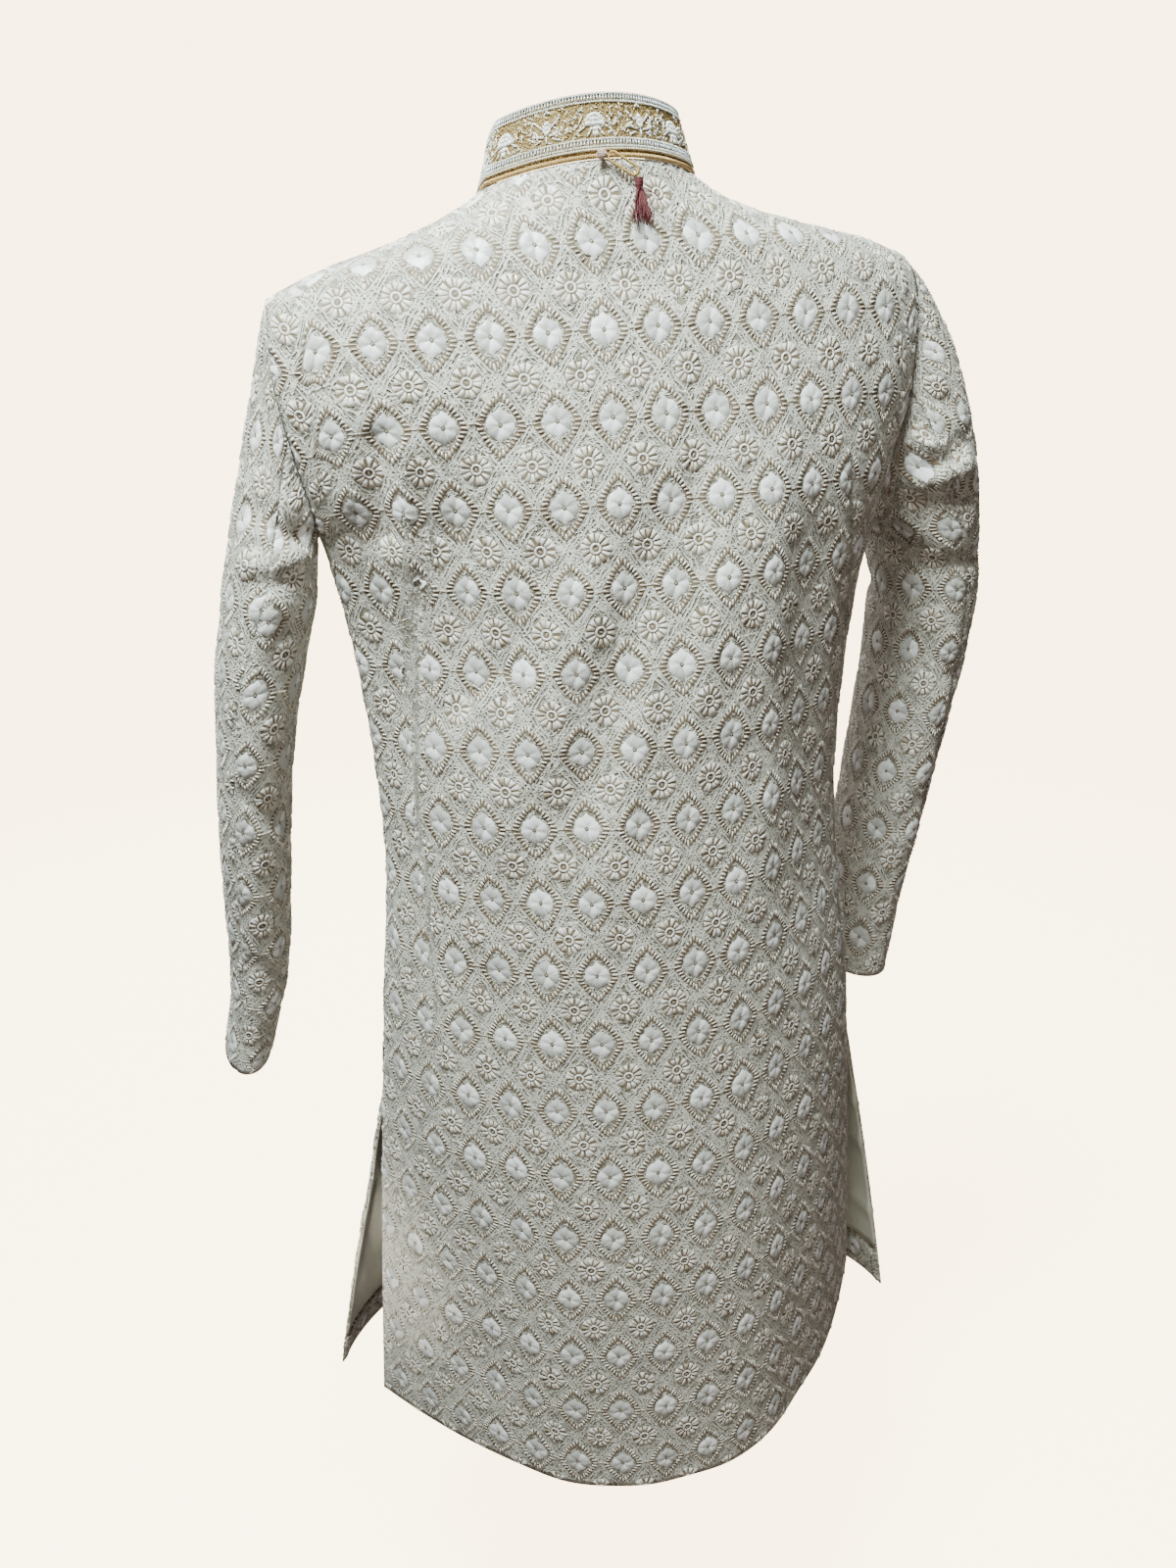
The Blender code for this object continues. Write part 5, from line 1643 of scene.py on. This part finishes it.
def sew_embroidered(node, cloth, seed, keep=None):
    """Shell of one cut piece with its embroidery on it."""
    work = stitched(node, cloth, seed, keep)
    sew(node, "cloth", cloth, WALL, ("cloth", "reverse"), "cloth")


class COAT_OT_back(bpy.types.Operator):
    """Build the back panel, shoulder to hem, with its folds and embroidery"""
    bl_idname = "coat.back"
    bl_label = "Back panel"

    def execute(self, context):
        sew_embroidered("back", back_cloth(), 11)
        return {"FINISHED"}


class COAT_OT_fronts(bpy.types.Operator):
    """Build the two front panels, the left one lapped over the right"""
    bl_idname = "coat.fronts"
    bl_label = "Front panels"

    def execute(self, context):
        left = front_cloth("left")
        edge = left.points[:, 0]
        order = np.argsort(edge[:, 2])
        buttons = [np.mean(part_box(f"button_{i}"), axis=0) for i in range(1, BUTTONS + 1)]

        def outside_lap(places):
            return places[:, 0] < np.interp(places[:, 2], edge[order, 2], edge[order, 0]) - 0.0015

        def beside_buttons(places):
            away = [np.hypot(places[:, 0] - b[0], places[:, 2] - b[2]) for b in buttons]
            return np.min(away, axis=0) > 0.0072

        sew_embroidered("front_left", left, 12, beside_buttons)
        sew_embroidered("front_right", front_cloth("right"), 13, outside_lap)
        return {"FINISHED"}


class COAT_OT_sleeves(bpy.types.Operator):
    """Build the two-piece sleeves as the arms hang, with their folds and embroidery"""
    bl_idname = "coat.sleeves"
    bl_label = "Sleeves"

    def execute(self, context):
        seams = {"top": (FRONT_SEAM, 2 * ARMHOLE_ROWS + HIND_SEAM), "under": (HIND_SEAM, FRONT_SEAM)}
        for seed, (node, lattice) in enumerate(SLEEVE_LATTICE.items(), 21):
            half, _, word = node.split("_")
            sew_embroidered(node, sleeve_cloth(word, *seams[half], lattice), seed)
        return {"FINISHED"}


class COAT_OT_skirt_insides(bpy.types.Operator):
    """Build the satin linings and turned-up hems that show in the side slits"""
    bl_idname = "coat.skirt_insides"
    bl_label = "Skirt linings and hems"

    def execute(self, context):
        for word in ("left", "right"):
            lining, facing = inside_cloths(word)
            sew(f"lining_{word}", "satin", lining, LINING_WALL, ("lining",), "lining")
            inner = facing.lift(-WALL)
            inner.normals = -inner.normals
            work = stitched(f"facing_{word}", inner, 31)
            sew(f"facing_{word}", "cloth", facing, WALL, ("reverse", "cloth"), "cloth")
        return {"FINISHED"}


class COAT_OT_collar(bpy.types.Operator):
    """Build the stand collar with its beadwork and edging cords"""
    bl_idname = "coat.collar"
    bl_label = "Beaded collar"

    def execute(self, context):
        cloth = collar_cloth(neck_curve())
        work = [ride(collar_beads(cloth, context.scene.coat_sizes.bead_size), "collar")]
        rows, columns = cloth.u.shape
        c = np.arange(float(columns))
        for name, v, radius in EDGING_CORDS:
            r = np.full(columns, v / cloth.v.max() * (rows - 1))
            route = cloth.place(r, c, np.full(columns, 0.6 * radius))
            work.append(ride(tube_object(name, route, radius, 8, "edging"), "collar"))
        sew("collar", "cloth", cloth, COLLAR_WALL, ("collar", "reverse"), "collar")
        return {"FINISHED"}


class COAT_OT_neck_trim(bpy.types.Operator):
    """Build the gold piping, the knotted hanging loop and its tassel"""
    bl_idname = "coat.neck_trim"
    bl_label = "Piping, loop and tassel"

    def execute(self, context):
        curve = neck_curve()
        route = curve + neck_frame(curve)[1] * (PIPING_RADIUS + 1.2 * GAP)
        ride(tube_object("neck_piping_cord", route, PIPING_RADIUS, 12, "piping"), "piping", "neck_piping")

        knot = on_back(KNOT_X, NECK_BACK_Z) + KNOT_OFF_CLOTH
        turns = np.linspace(0.0, 1.0, 150)
        angle = turns * 2 * math.pi * KNOT_WRAPS
        x = (turns - 0.5) * 2 * KNOT_RADIUS * 0.95
        size = KNOT_RADIUS * np.sqrt(np.clip(1 - (x / KNOT_RADIUS / 1.08) ** 2, 0.05, 1.0))
        wraps = np.stack((x, 0.60 * size * np.cos(angle), 0.80 * size * np.sin(angle)), axis=1)
        ride(tube_object("loop_knot_wraps", knot + wraps, KNOT_WRAP_RADIUS, 7, "knot"), "cord", "loop_knot")

        head_top = on_back(*TASSEL_TOP) + TASSEL_OFF_CLOTH
        turns = np.linspace(0.0, 1.0, 130)
        angle = turns * 2 * math.pi * TASSEL_HEAD_WRAPS
        width = TASSEL_HEAD_RADIUS * (0.55 + 0.55 * np.sin(math.pi * np.clip(turns * 0.8 + 0.12, 0, 1)))
        coil = ring(angle, width, -turns * TASSEL_HEAD_HEIGHT)
        head = tube_object("tassel_head_wraps", head_top + coil, TASSEL_WRAP_RADIUS, 6, "tassel")
        ride(head, "tassel", "tassel_head")

        paths = tassel_paths(head_top - (0.0, 0.0, TASSEL_HEAD_HEIGHT * 0.8))
        radius = context.scene.coat_sizes.tassel_thread
        skirt = ride(thread_bundle("tassel_skirt_threads", paths, radius, "tassel"), "tassel", "tassel_skirt")

        route = loop_route(knot, head_top)
        loop = ride(tube_object("hanging_loop_cord", route, CORD_RADIUS, 8, "cord"), "cord", "hanging_loop")
        return {"FINISHED"}


class COAT_OT_buttons(bpy.types.Operator):
    """Build the plain domed brass buttons down the front edge"""
    bl_idname = "coat.buttons"
    bl_label = "Buttons"

    def execute(self, context):
        left = front_cloth("left")
        flat = left.points.reshape(-1, 3)
        normals = left.normals.reshape(-1, 3)
        for i in range(1, BUTTONS + 1):
            low, high = (np.array(c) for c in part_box(f"button_{i}"))
            centre = 0.5 * (low + high)
            radius = 0.5 * float(high[0] - low[0])
            near = np.argmin(np.hypot(flat[:, 0] - centre[0], flat[:, 2] - centre[2]))
            normal = normals[near]
            foot = flat[near] + (centre - flat[near]) * (1, 0, 1) + normal * 1.5 * GAP
            bm = spun([(r * radius, z * BUTTON_HEIGHT) for r, z in BUTTON_PROFILE], 28, 0.00001)
            turn = Vector((0, 0, 1)).rotation_difference(Vector(normal)).to_matrix().to_4x4()
            bmesh.ops.transform(bm, matrix=Matrix.Translation(Vector(foot)) @ turn, verts=bm.verts[:])
            ride(mesh_object(f"button_{i}_dome", bm, "button"), "button", f"button_{i}")
        return {"FINISHED"}


class COAT_OT_stage(bpy.types.Operator):
    """Set the pale floor and background, the soft lights and the camera"""
    bl_idname = "coat.stage"
    bl_label = "Floor, lights and camera"

    def execute(self, context):
        scene = context.scene
        MATERIALS.clear()
        cove = [(FLOOR_RADIUS + COVE_RADIUS * math.sin(turn), FLOOR_Z + COVE_RADIUS * (1 - math.cos(turn)))
                for turn in np.linspace(0.0, math.pi / 2, 9)]
        bm = spun([(0.0, FLOOR_Z), *cove, (cove[-1][0], 4.0)], 48, 0.0001)
        paper = mesh_object("background_paper", bm, "paper")
        if paper.data.polygons[0].normal.z < 0:
            paper.data.flip_normals()
        paper.visible_diffuse = False
        paper.visible_glossy = False

        for name, place, aim, size, power, tint, spread in LIGHTS:
            light = bpy.data.lights.new(name, "AREA")
            light.shape = "SQUARE"
            light.size = size
            light.energy = power
            light.color = tint
            light.spread = math.radians(spread)
            lamp = bpy.data.objects.new(name, light)
            lamp.location = place
            lamp.rotation_euler = (Vector(aim) - Vector(place)).to_track_quat("-Z", "Y").to_euler()
            scene.collection.objects.link(lamp)

        world = bpy.data.worlds.new("studio_air")
        scene.world = world
        world.use_nodes = True
        air = world.node_tree.nodes["Background"]
        air.inputs["Color"].default_value = (1.0, 0.90, 0.80, 1.0)
        air.inputs["Strength"].default_value = 0.10

        lens = bpy.data.cameras.new("view")
        lens.sensor_fit = "HORIZONTAL"
        lens.sensor_width = lens.lens = 36.0
        lens.clip_start = 0.02
        camera = bpy.data.objects.new("view", lens)
        rows = [(right, -down, -ahead, place)
                for right, down, ahead, place in zip(*CAMERA_AXES, CAMERA_PLACE)]
        camera.matrix_world = Matrix((*rows, (0.0, 0.0, 0.0, 1.0)))
        scene.collection.objects.link(camera)
        scene.camera = camera
        return {"FINISHED"}


class COAT_PT_panel(bpy.types.Panel):
    bl_label = "Sherwani coat"
    bl_idname = "COAT_PT_panel"
    bl_space_type = "VIEW_3D"
    bl_region_type = "UI"
    bl_category = "Coat"

    def draw(self, context):
        layout = self.layout
        for operator in OPERATORS:
            layout.operator(operator.bl_idname)
        for group in (context.scene.coat_sizes, context.scene.coat_colours):
            box = layout.box()
            for key in group.__annotations__:
                box.prop(group, key)


OPERATORS = (COAT_OT_stage, COAT_OT_back, COAT_OT_fronts, COAT_OT_sleeves, COAT_OT_skirt_insides,
             COAT_OT_collar, COAT_OT_neck_trim, COAT_OT_buttons)
CLASSES = (CoatSizes, CoatColours, *OPERATORS, COAT_PT_panel)


def register():
    for cls in CLASSES:
        bpy.utils.register_class(cls)
    bpy.types.Scene.coat_sizes = PointerProperty(type=CoatSizes)
    bpy.types.Scene.coat_colours = PointerProperty(type=CoatColours)


def unregister():
    del bpy.types.Scene.coat_colours
    del bpy.types.Scene.coat_sizes
    for cls in reversed(CLASSES):
        bpy.utils.unregister_class(cls)


def main():
    register()
    bpy.ops.coat.stage()
    bpy.ops.coat.back()
    bpy.ops.coat.fronts()
    bpy.ops.coat.sleeves()
    bpy.ops.coat.skirt_insides()
    bpy.ops.coat.collar()
    bpy.ops.coat.neck_trim()
    bpy.ops.coat.buttons()
    bpy.context.view_layer.update()


if __name__ == "__main__":
    main()
